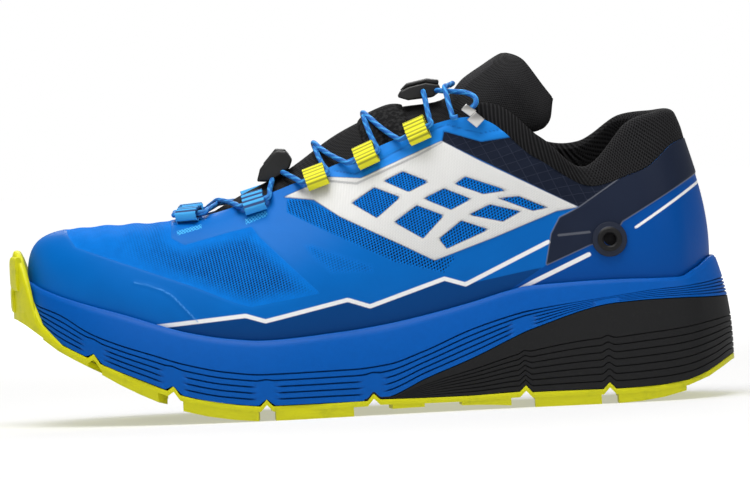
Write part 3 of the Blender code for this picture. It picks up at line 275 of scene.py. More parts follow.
# Studio: a white sheet of card under the shoe, a broad soft light above, one to each side and a
# white room round them.
bpy.ops.mesh.primitive_plane_add(size=6.0)
card = bpy.context.object
card.name = "white_card"
white_card = Finish("card", base_color=(0.46, 0.46, 0.46), roughness=0.95, specular_ior_level=0.1,
                    emission_strength=1.0)
spread = white_card.node("VectorMath", {"operation": "MULTIPLY"},
                         {0: white_card.place(), 1: (0.4, 1.0, 1.0)})
far = white_card.node("VectorMath", {"operation": "LENGTH"}, {0: spread}, "Value").above(0.8, 0.55)
white_card.plug(white_card.shader.inputs["Emission Color"],
                white_card.blend(far, (0.38, 0.38, 0.38), (0.92, 0.92, 0.92)))
white_card.wear(card)
for name, place, size, power, colour in (
        ("lamp_above", (-0.15, -0.25, 1.25), (1.1, 0.8), 20.0, (1.0, 0.99, 0.97)),
        ("lamp_front", (-0.70, -1.15, 0.85), (0.9, 0.7), 2.2, (1.0, 1.0, 1.0)),
        ("lamp_heel", (1.10, -0.55, 0.75), (0.6, 0.8), 2.6, (1.0, 1.0, 1.0)),
        ("lamp_back", (0.1, 1.2, 0.8), (1.0, 0.6), 6.0, (1.0, 1.0, 1.0))):
    bulb = bpy.data.lights.new(name, "AREA")
    bulb.shape, bulb.size, bulb.size_y = "RECTANGLE", *size
    bulb.energy, bulb.color = power, colour
    lamp = bpy.data.objects.new(name, bulb)
    lamp.location = place
    lamp.rotation_euler = (Vector((0, 0, 0.06)) - Vector(place)).to_track_quat("-Z", "Y").to_euler()
    bpy.context.scene.collection.objects.link(lamp)
room = bpy.data.worlds.new("room")
room.use_nodes = True
nodes, links = room.node_tree.nodes, room.node_tree.links
direction, height, band, ahead, sides, strength = (nodes.new("ShaderNode" + kind) for kind in (
    "TexCoord", "SeparateXYZ", "MapRange", "Math", "MapRange", "Math"))
for number, value in ((1, 0.0), (2, 0.04), (3, 1.0), (4, 0.34)):
    band.inputs[number].default_value = value
links.new(direction.outputs["Generated"], height.inputs[0])
links.new(height.outputs["Z"], band.inputs[0])
ahead.operation, strength.operation = "ABSOLUTE", "MULTIPLY"
for number, value in ((1, 0.25), (2, 0.85), (3, 0.16), (4, 1.0)):
    sides.inputs[number].default_value = value
links.new(height.outputs["Y"], ahead.inputs[0])
links.new(ahead.outputs[0], sides.inputs[0])
links.new(band.outputs[0], strength.inputs[0])
links.new(sides.outputs[0], strength.inputs[1])
links.new(strength.outputs[0], nodes["Background"].inputs["Strength"])
nodes["Background"].inputs["Color"].default_value = (1, 1, 1, 1)
bpy.context.scene.world = room
bpy.context.scene.view_settings.view_transform = "Standard"

# Outsole: moulded yellow-green rubber with lugs and flex grooves, wrapped up over the toe. It
# comes from one mould, so its edges are a little soft.
def copied(node, ease=0.0, rounds=0, angle=35):
    """The maker's piece from its CAD node, with eased edges or a surface rounded off."""
    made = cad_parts[node].copy()
    made.data = made.data.copy()
    made.name = node + "_piece"
    for key in list(made.keys()):
        del made[key]
    made.parent = None
    made.hide_render = made.hide_viewport = False
    bpy.context.scene.collection.objects.link(made)
    bpy.ops.object.select_all(action="DESELECT")
    bpy.context.view_layer.objects.active = made
    made.select_set(True)
    bpy.ops.object.mode_set(mode="EDIT")
    bpy.ops.mesh.select_all(action="SELECT")
    bpy.ops.mesh.remove_doubles(threshold=1e-5)
    bpy.ops.mesh.dissolve_limited(angle_limit=math.radians(0.5))
    bpy.ops.mesh.tris_convert_to_quads(face_threshold=math.radians(60), shape_threshold=math.radians(60))
    bpy.ops.mesh.customdata_custom_splitnormals_clear()
    bpy.ops.object.mode_set(mode="OBJECT")
    if ease:
        easing = made.modifiers.new("eased", "BEVEL")
        easing.width, easing.segments, easing.limit_method = ease, 2, "ANGLE"
        easing.angle_limit, easing.harden_normals = math.radians(28), False
        bpy.ops.object.modifier_apply(modifier="eased")
    if rounds:
        rounding = made.modifiers.new("rounded", "SUBSURF")
        rounding.levels = rounding.render_levels = rounds
        bpy.ops.object.modifier_apply(modifier="rounded")
    smoothed(made, angle)
    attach(made, "root")
    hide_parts(node)
    return made


rubber = Finish("rubber", roughness=0.5, specular_ior_level=0.3)
grime = rubber.noise(160, 5, 0.65)
rubber.plug(rubber.shader.inputs["Base Color"], rubber.blend(grime.above(0.62, 0.14), (0.64, 0.63, 0.002),
                                                             (0.53, 0.54, 0.004)))
rubber.bump(rubber.noise(900, 3), 0.00008, 0.6)
outsole = copied("outsole", 0.00045)
rubber.wear(outsole)

# Last: the sole's plan and the upper's top edge, in rows from the heel round the outer side to
# the toe and back along the inner side, and the sole's side from toe to heel. The rows are
# shares of the shoe's main sizes, which are in millimetres.
LENGTH = 296.0
BALL_WIDTH, TOE_WIDTH, WAIST_WIDTH, HEEL_WIDTH = 107.0, 94.0, 83.5, 83.0
COLLAR_WIDTH, THROAT_WIDTH = 68.0, 36.0
HEEL_HEIGHT, INSTEP_HEIGHT, TOE_BOX_HEIGHT = 119.6, 125.5, 80.0
TOE_SPRING, HEEL_BEVEL, LUG_DEPTH, RIM_HEIGHT, CUP_DEPTH = 44.0, 14.0, 4.0, 50.5, 17.0


def table(heads, *rows):
    """Columns of a table by their names."""
    return {head: np.array(column, float) for head, column in zip(heads.split(), zip(*rows))}


SOLE_PLAN = table(
    "along    width        across  taper  tip",
    (1.000, HEEL_WIDTH,   0.006,  1.00,  0.00),
    (0.965, HEEL_WIDTH,  -0.320,  0.95,  0.00),
    (0.915, HEEL_WIDTH,  -0.460,  0.85,  0.00),
    (0.840, HEEL_WIDTH,  -0.502,  0.80,  0.00),
    (0.690, WAIST_WIDTH, -0.500,  0.80,  0.00),
    (0.520, WAIST_WIDTH, -0.556,  0.80,  0.00),
    (0.350, BALL_WIDTH,  -0.510,  0.75,  0.00),
    (0.175, TOE_WIDTH,   -0.490,  0.70,  0.00),
    (0.052, TOE_WIDTH,   -0.262,  0.35,  0.35),
    (0.000, TOE_WIDTH,    0.050,  0.00,  1.00),
    (0.052, TOE_WIDTH,    0.345,  0.35,  0.35),
    (0.165, TOE_WIDTH,    0.505,  0.70,  0.00),
    (0.310, BALL_WIDTH,   0.488,  0.75,  0.00),
    (0.490, WAIST_WIDTH,  0.500,  0.80,  0.00),
    (0.660, WAIST_WIDTH,  0.444,  0.80,  0.00),
    (0.830, HEEL_WIDTH,   0.490,  0.80,  0.00),
    (0.915, HEEL_WIDTH,   0.460,  0.85,  0.00),
    (0.965, HEEL_WIDTH,   0.330,  0.95,  0.00))
TOP_EDGE = table(
    "along  width         across  height         up     rise  flare  crown  drop  pad",
    (0.934, COLLAR_WIDTH,  0.000, HEEL_HEIGHT,    0.966, 0.38, 0.030, 0.55, 0.35, 0.15),
    (0.915, COLLAR_WIDTH, -0.200, HEEL_HEIGHT,    0.960, 0.38, 0.030, 0.50, 0.35, 0.17),
    (0.868, COLLAR_WIDTH, -0.370, HEEL_HEIGHT,    0.925, 0.38, 0.045, 0.45, 0.35, 0.27),
    (0.806, COLLAR_WIDTH, -0.470, HEEL_HEIGHT,    0.786, 0.38, 0.050, 0.40, 0.35, 0.11),
    (0.738, COLLAR_WIDTH, -0.490, HEEL_HEIGHT,    0.900, 0.36, 0.050, 0.40, 0.35, 0.09),
    (0.654, COLLAR_WIDTH, -0.385, INSTEP_HEIGHT,  0.985, 0.34, 0.040, 0.42, 0.32, 0.05),
    (0.480, THROAT_WIDTH, -0.500, INSTEP_HEIGHT,  0.832, 0.36, 0.065, 0.40, 0.32, 0.00),
    (0.330, THROAT_WIDTH, -0.450, INSTEP_HEIGHT,  0.702, 0.47, 0.070, 0.44, 0.28, 0.00),
    (0.257, THROAT_WIDTH, -0.240, TOE_BOX_HEIGHT, 1.030, 0.85, 0.030, 0.70, 0.11, 0.00),
    (0.240, THROAT_WIDTH,  0.040, TOE_BOX_HEIGHT, 1.020, 1.10, 0.000, 0.86, 0.05, 0.00),
    (0.257, THROAT_WIDTH,  0.320, TOE_BOX_HEIGHT, 1.030, 0.85, 0.030, 0.70, 0.11, 0.00),
    (0.330, THROAT_WIDTH,  0.520, INSTEP_HEIGHT,  0.702, 0.47, 0.060, 0.44, 0.28, 0.00),
    (0.480, THROAT_WIDTH,  0.570, INSTEP_HEIGHT,  0.835, 0.36, 0.045, 0.40, 0.32, 0.00),
    (0.654, COLLAR_WIDTH,  0.400, INSTEP_HEIGHT,  0.990, 0.34, 0.020, 0.42, 0.32, 0.05),
    (0.735, COLLAR_WIDTH,  0.480, HEEL_HEIGHT,    0.880, 0.36, 0.040, 0.40, 0.35, 0.09),
    (0.800, COLLAR_WIDTH,  0.450, HEEL_HEIGHT,    0.860, 0.38, 0.050, 0.40, 0.35, 0.13),
    (0.860, COLLAR_WIDTH,  0.370, HEEL_HEIGHT,    0.945, 0.38, 0.045, 0.45, 0.35, 0.27),
    (0.915, COLLAR_WIDTH,  0.200, HEEL_HEIGHT,    0.962, 0.38, 0.030, 0.50, 0.35, 0.17))
SOLE_SIDE = table(
    "along  ground lug   rim    groove wedge  cup",
    (0.000, 1.000, 0.10, 1.195, 1.060, 0.000, 0.50),
    (0.030, 0.880, 0.15, 1.125, 0.985, 0.000, 0.50),
    (0.061, 0.720, 0.20, 1.058, 0.915, 0.000, 0.55),
    (0.105, 0.555, 0.35, 0.978, 0.762, 0.000, 0.60),
    (0.145, 0.393, 0.75, 0.911, 0.663, 0.000, 0.62),
    (0.193, 0.232, 1.00, 0.820, 0.568, 0.000, 0.64),
    (0.236, 0.118, 1.00, 0.745, 0.485, 0.000, 0.65),
    (0.297, 0.030, 1.00, 0.677, 0.406, 0.000, 0.65),
    (0.348, 0.000, 0.95, 0.650, 0.376, 0.000, 0.65),
    (0.470, 0.000, 0.90, 0.693, 0.380, 0.090, 0.66),
    (0.517, 0.157, 0.50, 0.727, 0.404, 0.139, 0.68),
    (0.568, 0.171, 0.35, 0.780, 0.495, 0.270, 0.70),
    (0.635, 0.150, 0.40, 0.867, 0.650, 0.418, 0.75),
    (0.693, 0.070, 0.85, 0.956, 0.750, 0.568, 0.85),
    (0.716, 0.000, 0.98, 0.982, 0.780, 0.624, 0.90),
    (0.838, 0.000, 0.95, 1.004, 0.870, 0.810, 1.00),
    (0.899, 0.120, 0.70, 0.996, 0.905, 0.824, 1.00),
    (0.939, 0.330, 0.40, 0.994, 0.915, 0.822, 1.00),
    (0.973, 0.680, 0.20, 1.060, 0.930, 0.812, 1.00),
    (1.000, 1.000, 0.10, 1.140, 0.950, 0.805, 1.00))
NOTCHES = (0.111, 0.220, 0.348, 0.496, 0.707, 0.823)


def round_last(column, rows):
    """Values at fractional rows, on a closed curve through all the rows."""
    i = np.floor(rows).astype(int)
    s = rows - i
    a, b, c, d = (column[(i + k) % len(column)] for k in (-1, 0, 1, 2))
    return b + 0.5 * s * (c - a + s * (2 * a - 5 * b + 4 * c - d + s * (3 * (b - c) + d - a)))


def station(share):
    """Place along the shoe of a share of its length from the toe."""
    return (np.asarray(share) - 0.5) * LENGTH


reach = round_last(SOLE_PLAN["width"] * SOLE_PLAN["across"], np.arange(360) / 20)
MIDDLE = -(reach.max() + reach.min()) / 2
foot_x, foot_y = station(SOLE_PLAN["along"]), MIDDLE + SOLE_PLAN["width"] * SOLE_PLAN["across"]
taper, tip = SOLE_PLAN["taper"], SOLE_PLAN["tip"]
top_x, top_y = station(TOP_EDGE["along"]), MIDDLE + TOP_EDGE["width"] * TOP_EDGE["across"]
top_z = TOP_EDGE["height"] * TOP_EDGE["up"]
rise, flare, crown, drop, pad = (TOP_EDGE[name] for name in ("rise", "flare", "crown", "drop", "pad"))
side_x, side_lug = station(SOLE_SIDE["along"]), SOLE_SIDE["lug"] * LUG_DEPTH
side_ground = SOLE_SIDE["ground"] * np.where(side_x < 0, TOE_SPRING, HEEL_BEVEL)
side_rim, side_groove, side_wedge = (SOLE_SIDE[name] * RIM_HEIGHT for name in ("rim", "groove", "wedge"))
side_cup = SOLE_SIDE["cup"] * CUP_DEPTH
notches = station(NOTCHES)


def along_sole(column, x):
    step = np.diff(column) / np.diff(side_x)
    slope = np.zeros(len(column))
    same = step[:-1] * step[1:] > 0
    slope[1:-1][same] = 2 * (step[:-1] * step[1:])[same] / (step[:-1] + step[1:])[same]
    i = np.clip(np.searchsorted(side_x, x, "right") - 1, 0, len(side_x) - 2)
    width = side_x[i + 1] - side_x[i]
    s = np.clip((x - side_x[i]) / width, 0, 1)
    return ((1 + 2 * s) * (1 - s) ** 2 * column[i] + s * (1 - s) ** 2 * width * slope[i]
            + s * s * (3 - 2 * s) * column[i + 1] + s * s * (s - 1) * width * slope[i + 1])


def plan(rows):
    """The sole's outline and its outward directions."""
    point = np.stack([round_last(foot_x, rows), round_last(foot_y, rows)], -1)
    way = (np.stack([round_last(foot_x, rows + 0.05), round_last(foot_y, rows + 0.05)], -1)
           - np.stack([round_last(foot_x, rows - 0.05), round_last(foot_y, rows - 0.05)], -1))
    way /= np.linalg.norm(way, axis=-1)[..., None]
    return point, np.stack([-way[..., 1], way[..., 0]], -1)


def tread(x):
    return along_sole(side_ground, x) + along_sole(side_lug, x)


def arch(x, reach=2.6):
    """Rise of the sole's underside in the flex grooves."""
    near = np.min(np.abs(np.asarray(x)[..., None] - notches), axis=-1)
    return 2.8 * np.clip(1 - near / reach, 0, 1)


def foam_low(x):
    return np.maximum(tread(x) + 2.2 + arch(x, 3.4), along_sole(side_wedge, x)) + 0.35


def lean(rows, x, height):
    """How far the foam's side lies inside the outline at a height."""
    low = tread(x) + 2.2
    climb = np.clip((height - low) / (along_sole(side_rim, x) - low), 0, 1)
    bump = np.clip(1.1 * round_last(tip, rows) - 0.1, 0, None)
    return 6.2 * round_last(taper, rows) * climb ** 2.4 + 4.0 * bump + 0.3 * np.minimum(1, 3 * bump)


def hoop(rows, inset, height):
    """Points round the shoe at an inset from its outline and a height."""
    point, out = plan(rows)
    point = point - out * inset[:, None]
    return np.column_stack([point, height])


def evenly(count, start=0.0, stop=18.0):
    """Rows spread evenly by their distance along the outline."""
    rows = np.linspace(start, stop, 2001)
    point = plan(rows)[0]
    gone = np.concatenate([[0], np.cumsum(np.linalg.norm(np.diff(point, axis=0), axis=1))])
    return np.interp(np.linspace(0, gone[-1], count, endpoint=False), gone, rows)


# Toe lip: the same rubber, carried up over the toe in a rounded wall with three blocks on it.
def lip_wall(rows, outer, inner, low_edge, high_edge, name):
    """Rounded wall along the toe's outline between two offsets and two heights."""
    rings = []
    for k in range(20):
        turn_at = 2 * math.pi * k / 20
        across_at = np.sign(math.cos(turn_at)) * abs(math.cos(turn_at)) ** 0.6
        up_at = np.sign(math.sin(turn_at)) * abs(math.sin(turn_at)) ** 0.5
        inset = (outer + inner) / 2 - across_at * (inner - outer) / 2
        rings.append(hoop(rows, inset, (low_edge + high_edge) / 2 + up_at * (high_edge - low_edge) / 2))
    made = skin(name, np.stack(rings, 1) / 1e3, (False, True), (0, -1), 50)
    rubber.wear(made)
    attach(made, "root")


lip_rows = np.linspace(8.22, 9.78, 60)
lip_x = plan(lip_rows)[0][:, 0]
shoulder = 1 - np.clip(np.abs(lip_rows - 9) / 0.78, 0, 1) ** 2.6
lip_low = tread(lip_x) + 1.0
lip_wall(lip_rows, 0.1 * np.ones(60), 0.6 + 4.1 * shoulder, lip_low,
         tread(lip_x) + 2.6 + 25.6 * shoulder, "toe_lip")
toe_blocks = (8.62, 8.92, 56, 70), (9.08, 9.38, 56, 70), (8.80, 9.20, 47, 58)
for number, (first, last, bottom, top) in enumerate(toe_blocks):
    block_rows = np.linspace(first, last, 14)
    level = np.ones(14)
    lip_wall(block_rows, -level, 2 * level, bottom * level, top * level, "toe_block_%d" % (number + 1))

# Midsole: a block of blue foam, moulded with a cup that the upper is bonded into. Fine lines
# run along its lower half; the lower three stop at each flex groove.
def ribbed_side(rows, low, high, lines, half, depth, broken):
    """Hoops up a foam side with pressed lines, and how far each point lies in a line."""
    x = plan(rows)[0][:, 0]
    near = np.min(np.abs(x[:, None] - notches), axis=1)
    hoops, pressed, last = [hoop(rows, lean(rows, x, low), low)], [np.zeros(len(rows))], low
    band = high - low
    for line in range(lines):
        stop = np.clip((near - 4.0) / 2.5, 0, 1) if line < broken else np.ones(len(rows))
        fade = stop * np.clip(band / (lines * 1.5), 0, 1)
        middle = low + band * (line + 1) / lines
        for step, share in ((-1.15, 0), (-0.6, 0.85), (0, 1), (0.6, 0.85), (1.15, 0)):
            height = np.maximum(middle + step * half * np.minimum(1, band / lines / 1.6), last + 0.02)
            hoops.append(hoop(rows, lean(rows, x, height) + depth * fade * share, height))
            pressed.append(fade * share)
            last = height
    return hoops, pressed, last


sole_rows = evenly(620)
sole_x = plan(sole_rows)[0][:, 0]
low = foam_low(sole_x)
high = np.maximum(along_sole(side_groove, sole_x), low + 1.0)
hoops, pressed, last = ribbed_side(sole_rows, low, high, 5, 0.34, 0.7, 3)
rim = along_sole(side_rim, sole_x)
feather = lean(sole_rows, sole_x, rim) + 2.4
inner = feather - 0.5
for share in np.linspace(0, 1, 7)[1:]:
    height = last + (rim - 1.2 - last) * share
    hoops.append(hoop(sole_rows, lean(sole_rows, sole_x, height), height))
    pressed.append(0 * rim)
edge = lean(sole_rows, sole_x, rim)
for turn_at in np.linspace(0.15, 1, 6) * math.pi / 2:
    hoops.append(hoop(sole_rows, edge + 1.1 * (1 - math.cos(turn_at)), rim - 1.1 + 1.1 * math.sin(turn_at)))
    pressed.append(0 * rim)
floor_z = rim - along_sole(side_cup, sole_x)
hoops.append(hoop(sole_rows, inner - 0.2, rim - 0.2))
hoops.append(hoop(sole_rows, inner, rim - 1.0))
hoops.append(hoop(sole_rows, inner, floor_z))
hoops.append(hoop(sole_rows, inner + 8, floor_z))
pressed += [0 * rim] * 4
base = [hoop(sole_rows, lean(sole_rows, sole_x, low) + inset, low + lift)
        for inset, lift in ((8, -0.2), (1.0, -0.1))]
grid = np.stack(base + hoops) / 1e3
# How far each point lies in a pressed line, for the painted shade in the grooves.
groove_shade = np.stack([0 * rim, 0 * rim] + pressed)
midsole = skin("midsole_piece", grid, (False, True), (), 40, pressed=groove_shade)
foam = Finish("blue_foam", roughness=0.45, specular_ior_level=0.12)
mottle = foam.noise(420, 4, 0.6)
tone = foam.blend(mottle, (0.0, 0.098, 0.44), (0.0, 0.082, 0.37))
# The pressed lines are painted near black: painted shade in their grooves.
foam.plug(foam.shader.inputs["Base Color"],
          foam.blend(foam.attribute("pressed") * 0.8, tone, (0.0, 0.008, 0.04)))
foam.bump(foam.noise(1500, 2), 0.00006, 0.5)
foam.wear(midsole)
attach(midsole, "root")
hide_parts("midsole")

# Heel foam: a firmer black wedge under the heel, moulded apart and bonded below the blue, with
# seven fine lines round it.
start = np.interp(-6.0, foot_x[9:3:-1], np.arange(9, 3, -1.0))
medial_start = 12.0 + np.interp(-6.0, foot_x[12:15], np.arange(3.0))
wedge_rows = np.concatenate([evenly(200, medial_start, 18.0), evenly(200, 0.0, start)])
wedge_x = plan(wedge_rows)[0][:, 0]
wedge_low = tread(wedge_x) + 2.2 + arch(wedge_x) + 0.3
wedge_high = np.maximum(along_sole(side_wedge, wedge_x) - 0.05, wedge_low + 0.05)
lined = wedge_low + (wedge_high - wedge_low) * np.interp(wedge_x, (30, 100, 140), (0.72, 0.60, 0.66))
hoops, pressed, last = ribbed_side(wedge_rows, wedge_low, lined, 7, 0.26, 0.45, 0)
under = hoop(wedge_rows, lean(wedge_rows, wedge_x, wedge_low) + 9, wedge_low)
hoops = [under] + hoops + [hoop(wedge_rows, lean(wedge_rows, wedge_x, wedge_high) - 0.05, wedge_high),
                           hoop(wedge_rows, lean(wedge_rows, wedge_x, wedge_high) + 9, wedge_high)]
pressed = [0 * wedge_x] + pressed + [0 * wedge_x] * 2
heel_foam = skin("heel_foam_piece", np.stack(hoops) / 1e3, (True, False), (), 40, pressed=np.stack(pressed))
hard_foam = Finish("black_foam", roughness=0.6, specular_ior_level=0.18)
speck = hard_foam.noise(700, 4, 0.7)
tone = hard_foam.blend(speck.above(0.66, 0.1), (0.011, 0.0112, 0.012), (0.017, 0.017, 0.018))
# The pressed lines are painted near black: painted shade in their grooves.
hard_foam.plug(hard_foam.shader.inputs["Base Color"],
               hard_foam.blend(hard_foam.attribute("pressed") * 0.7, tone, (0.002, 0.002, 0.002)))
hard_foam.bump(speck, 0.0001, 0.7)
hard_foam.wear(heel_foam)
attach(heel_foam, "root")
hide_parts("heel_foam")

# Insole: a die-cut foam sockliner with a black knit top, laid in the cup.
insole = copied("insole", 0.0008)
lining = Finish("lining_knit", roughness=0.9)
weave = lining.noise(1400, 2)
lining.plug(lining.shader.inputs["Base Color"],
            lining.blend(weave, (0.012, 0.012, 0.013), (0.04, 0.04, 0.042)))
lining.bump(weave, 0.0002, 0.8)
lining.wear(insole)

# Upper: one seamless knitted bootee, open in its mesh and dense elsewhere. Thin polyurethane
# films, a white lattice print and the heel and eyestay mouldings are pressed onto it hot.
# Its panels are outlined as they are cut, in millimetres seen from the side.
def off_stretch(x, z, start, stop):
    """Distance from one straight stretch of a line."""
    (ax, az), (bx, bz) = start, stop
    share = ((x - ax) * (bx - ax) + (z - az) * (bz - az)) / ((bx - ax) ** 2 + (bz - az) ** 2)
    share = np.clip(share, 0, 1)
    return np.hypot(x - ax - share * (bx - ax), z - az - share * (bz - az))


def inside_of(outline, x, z):
    """Distance in from a cut outline; below zero outside it."""
    near, inside = np.full(x.shape, 1e9), np.zeros(x.shape, bool)
    for (ax, az), (bx, bz) in zip(outline, outline[1:] + outline[:1]):
        near = np.minimum(near, off_stretch(x, z, (ax, az), (bx, bz)))
        if az != bz:
            inside ^= ((az > z) != (bz > z)) & (x < (bx - ax) * (z - az) / (bz - az) + ax)
    return np.where(inside, near, -near)


def from_line(points, x, z):
    """Distance from a drawn line."""
    return np.min([off_stretch(x, z, *ends) for ends in zip(points, points[1:])], axis=0)


def soft(values, low, high):
    share = np.clip((values - low) / (high - low), 0, 1)
    return share * share * (3 - 2 * share)


def face(rows, share):
    """Points of the upper's outer face: share runs from the cup's rim to the top edge, in lines
    of a value for each row."""
    point, out = plan(rows)
    inset = lean(rows, point[:, 0], along_sole(side_rim, point[:, 0])) + 2.4
    foot = point - out * inset[:, None]
    base = np.column_stack([foot, along_sole(side_rim, foot[:, 0])])
    top = np.stack([round_last(c, rows) for c in (top_x, top_y, top_z)], -1)
    out = np.column_stack([out, 0 * rows])
    climb = top - base
    height, reach = climb[:, 2:], -(climb * out).sum(-1, keepdims=True)
    level = climb * (1, 1, 0) + out * reach
    up = height * (0, 0, 1)
    at = {n: round_last(c, rows)[:, None] for n, c in
          (("rise", rise), ("flare", flare), ("crown", crown), ("drop", drop))}
    lower = base + level / 3 + out * height * at["flare"] + up * at["rise"]
    higher = base + level * 2 / 3 - out * reach * (1 - at["crown"]) + up * (1 - at["drop"])
    s = share[..., None]
    r = 1 - s
    return r ** 3 * base + 3 * r * r * s * lower + 3 * r * s * s * higher + s ** 3 * top


def outward_of(grid):
    """Unit vectors out of a grid's face; its rows run round and its lines climb."""
    way = np.cross(np.gradient(grid, axis=0), np.roll(grid, -1, 1) - np.roll(grid, 1, 1))
    return way / np.maximum(np.linalg.norm(way, axis=-1), 1e-9)[..., None]


knit_panel = ((-123.5, 77.6), (-126.7, 86.0), (-81.1, 92.0), (-81.2, 75.6), (-75.8, 72.6), (-55.9, 77.2),
              (-48.0, 78.8), (-45.0, 74.7), (-21.0, 50.8), (-49.5, 46.6), (-55.7, 48.5), (-71.9, 55.5),
              (-95.9, 64.5), (-120.6, 73.5))
side_mesh = ((-33.0, 89.3), (-25.2, 88.9), (12.5, 69.5), (24.2, 62.8), (36.0, 63.5), (30.0, 56.5),
             (9.7, 61.8), (-33.3, 84.0))
faded_mesh = ((-28.7, 71.6), (-23.2, 71.7), (2.0, 62.0), (2.0, 57.0), (-16.8, 57.5), (-24.5, 65.0))
lattice = ((-34.5, 90.0), (-15.9, 97.2), (-2.1, 96.2), (14.0, 103.0), (31.7, 110.3), (46.9, 101.6),
           (86.4, 80.8), (77.2, 79.6), (51.0, 70.0), (26.3, 61.8), (12.5, 69.1), (-11.6, 81.3),
           (-22.0, 88.5))
windows = (((-6.5, 86.6), (3.0, 92.6), (13.5, 88.2), (3.5, 80.2)),
           ((7.0, 95.0), (15.0, 98.6), (25.5, 94.0), (17.0, 90.2)),
           ((10.5, 78.2), (20.0, 84.6), (31.0, 80.0), (22.0, 71.0)),
           ((23.0, 87.2), (31.5, 91.0), (42.5, 86.2), (34.0, 82.2)),
           ((28.5, 70.6), (38.0, 77.6), (49.0, 73.4), (31.5, 66.4)),
           ((40.5, 95.4), (36.0, 92.6), (47.5, 88.0), (57.5, 89.0)),
           ((41.0, 79.8), (50.0, 83.6), (62.5, 80.2), (55.0, 76.4)),
           ((53.5, 86.0), (62.0, 86.4), (73.5, 81.2), (67.5, 80.2)))
stay = ((-19.0, 96.0), (-4.0, 94.1), (14.0, 101.5), (22.0, 104.8), (31.7, 109.7), (32.7, 114.2),
        (47.7, 109.3),
        (70.0, 112.0), (60.0, 130.0), (20.0, 126.0), (-20.0, 112.0))
stay_lines = ((26.1, 113.7), (33.7, 117.0), (47.1, 112.7), (60.3, 114.7), (57.4, 118.0)), (
    (-12.7, 99.8), (-4.2, 98.2), (4.6, 102.8), (19.0, 109.6))
ripstop = ((32.7, 114.2), (47.7, 109.3), (66.7, 111.3), (84.0, 112.0), (112.0, 100.0), (103.6, 90.5),
           (86.4, 80.8), (31.7, 110.3))
quarter = ((78.2, 77.0), (86.4, 80.8), (100.0, 89.4), (112.0, 97.6), (122.0, 104.6), (129.4, 111.0),
           (132.0, 125.0), (155.0, 125.0),
           (155.0, 94.5), (136.1, 91.9), (104.1, 74.1), (99.0, 67.0), (90.2, 65.1), (71.8, 57.6),
           (74.5, 70.5))
counter = ((71.8, 57.6), (90.2, 65.1), (99.0, 67.0), (104.1, 74.1), (136.1, 91.9), (155.0, 94.5),
           (155.0, 40.0),
           (40.0, 36.0), (54.0, 46.5))
pinstripe = ((-88.4, 40.3), (-52.0, 43.2), (-44.0, 40.6), (-10.0, 47.6), (-1.0, 44.4), (30.0, 54.2),
             (38.5, 51.4), (73.2, 67.2))
shade_panel = ((-96.0, 36.0), (-88.4, 40.3), (-52.0, 43.2), (-44.0, 40.6), (-10.0, 47.6),
               (-1.0, 44.4), (30.0, 54.2),
               (38.5, 51.4), (71.0, 57.0), (54.0, 46.5), (30.0, 38.0), (-40.0, 28.0))
toe_edge = ((-97.0, 58.6), (-91.7, 57.3), (-86.0, 55.2), (-81.6, 52.6), (-71.5, 41.5))
tacks = ((-78.6, 76.4), (-68.4, 78.8), (-68.6, 80.4), (-78.9, 78.1)), (
    (-50.2, 79.6), (-41.2, 82.9), (-41.6, 85.0), (-50.6, 81.8))
heel_lines = ((137.1, 88.5), (109.4, 71.4)), ((89.6, 61.3), (55.8, 46.4))

upper_rows = evenly(700)
edge_share = 1 - np.clip(round_last(pad, upper_rows), 0, None)
climbs = np.linspace(0, 1, 78)[:, None] * edge_share
grid = face(upper_rows, climbs)
outs = outward_of(grid)
x, z = grid[..., 0], grid[..., 2]
cut = {name: inside_of(outline, x, z) for name, outline in (
    ("knit", knit_panel), ("mesh", side_mesh), ("faded", faded_mesh), ("stay", stay), ("ripstop", ripstop),
    ("quarter", quarter), ("counter", counter), ("shade", shade_panel), ("lattice", lattice))}
holes_cut = np.max([inside_of(window, x, z) for window in windows], axis=0)
cut["white"] = np.minimum(cut["lattice"], -holes_cut)
cut["window"] = np.minimum(cut.pop("lattice"), holes_cut + 1.0)
cut["stripe"] = 0.85 - from_line(pinstripe, x, z)
cut["piping"] = np.maximum(0.55 - from_line(heel_lines[0], x, z),
                           np.interp(x, (56, 66), (0.3, 0.9)) - from_line(heel_lines[1], x, z))
cut["toe_edge"] = 0.35 - from_line(toe_edge, x, z)
cut["seam"] = 1.2 - np.minimum(from_line(stay_lines[0], x, z), from_line(stay_lines[1], x, z))
cut["tacks"] = np.max([inside_of(tack, x, z) for tack in tacks], axis=0)
cut["ring_bore"] = 3.4 - np.hypot(x - 99.2, z - 67.8)
# A line across the quarter, where a painted highlight goes.
cut["fold"] = 0.5 - from_line(((77.5, 69.7), (90.3, 70.4)), x, z)
for name in ("stripe", "piping", "toe_edge", "seam", "fold", "ring_bore"):
    cut[name] = np.clip(cut[name], -4, 4)
openness = np.maximum(soft(x, -112, -66) * soft(cut["knit"], 0.2, 7.0) * (1 - 0.45 * soft(z, 70, 80)),
                      np.maximum(soft(cut["mesh"], -0.3, 0.8), soft(cut["window"], 0.0, 1.0)))
openness = np.maximum(openness, 0.55 * soft(cut["faded"], 0, 4))
raised = (0.45 * soft(cut["white"], -0.4, 0.5) + 0.6 * soft(cut["stay"], -0.5, 0.5)
          + 0.5 * soft(cut["quarter"], -0.5, 0.5) + 0.35 * soft(-cut["knit"], -0.5, 0.5) * soft(-x, 20, 60)
          - 0.45 * soft(cut["seam"], 0.3, 1.1) + 0.25 * soft(cut["toe_edge"], -1.0, 0.2))
waves = (0.28 * np.sin(x * 0.52 + z * 0.25) * soft(cut["knit"], 1, 9) * soft(-x, 55, 80)
         + 0.22 * np.sin(x * 0.23 - z * 0.61 + 1.3) * np.sin(x * 0.09 + z * 0.2) * soft(cut["ripstop"], 0, 5))
shown = grid + outs * (raised + waves)[..., None]
foot_rim = along_sole(side_rim, grid[0, :, 0])
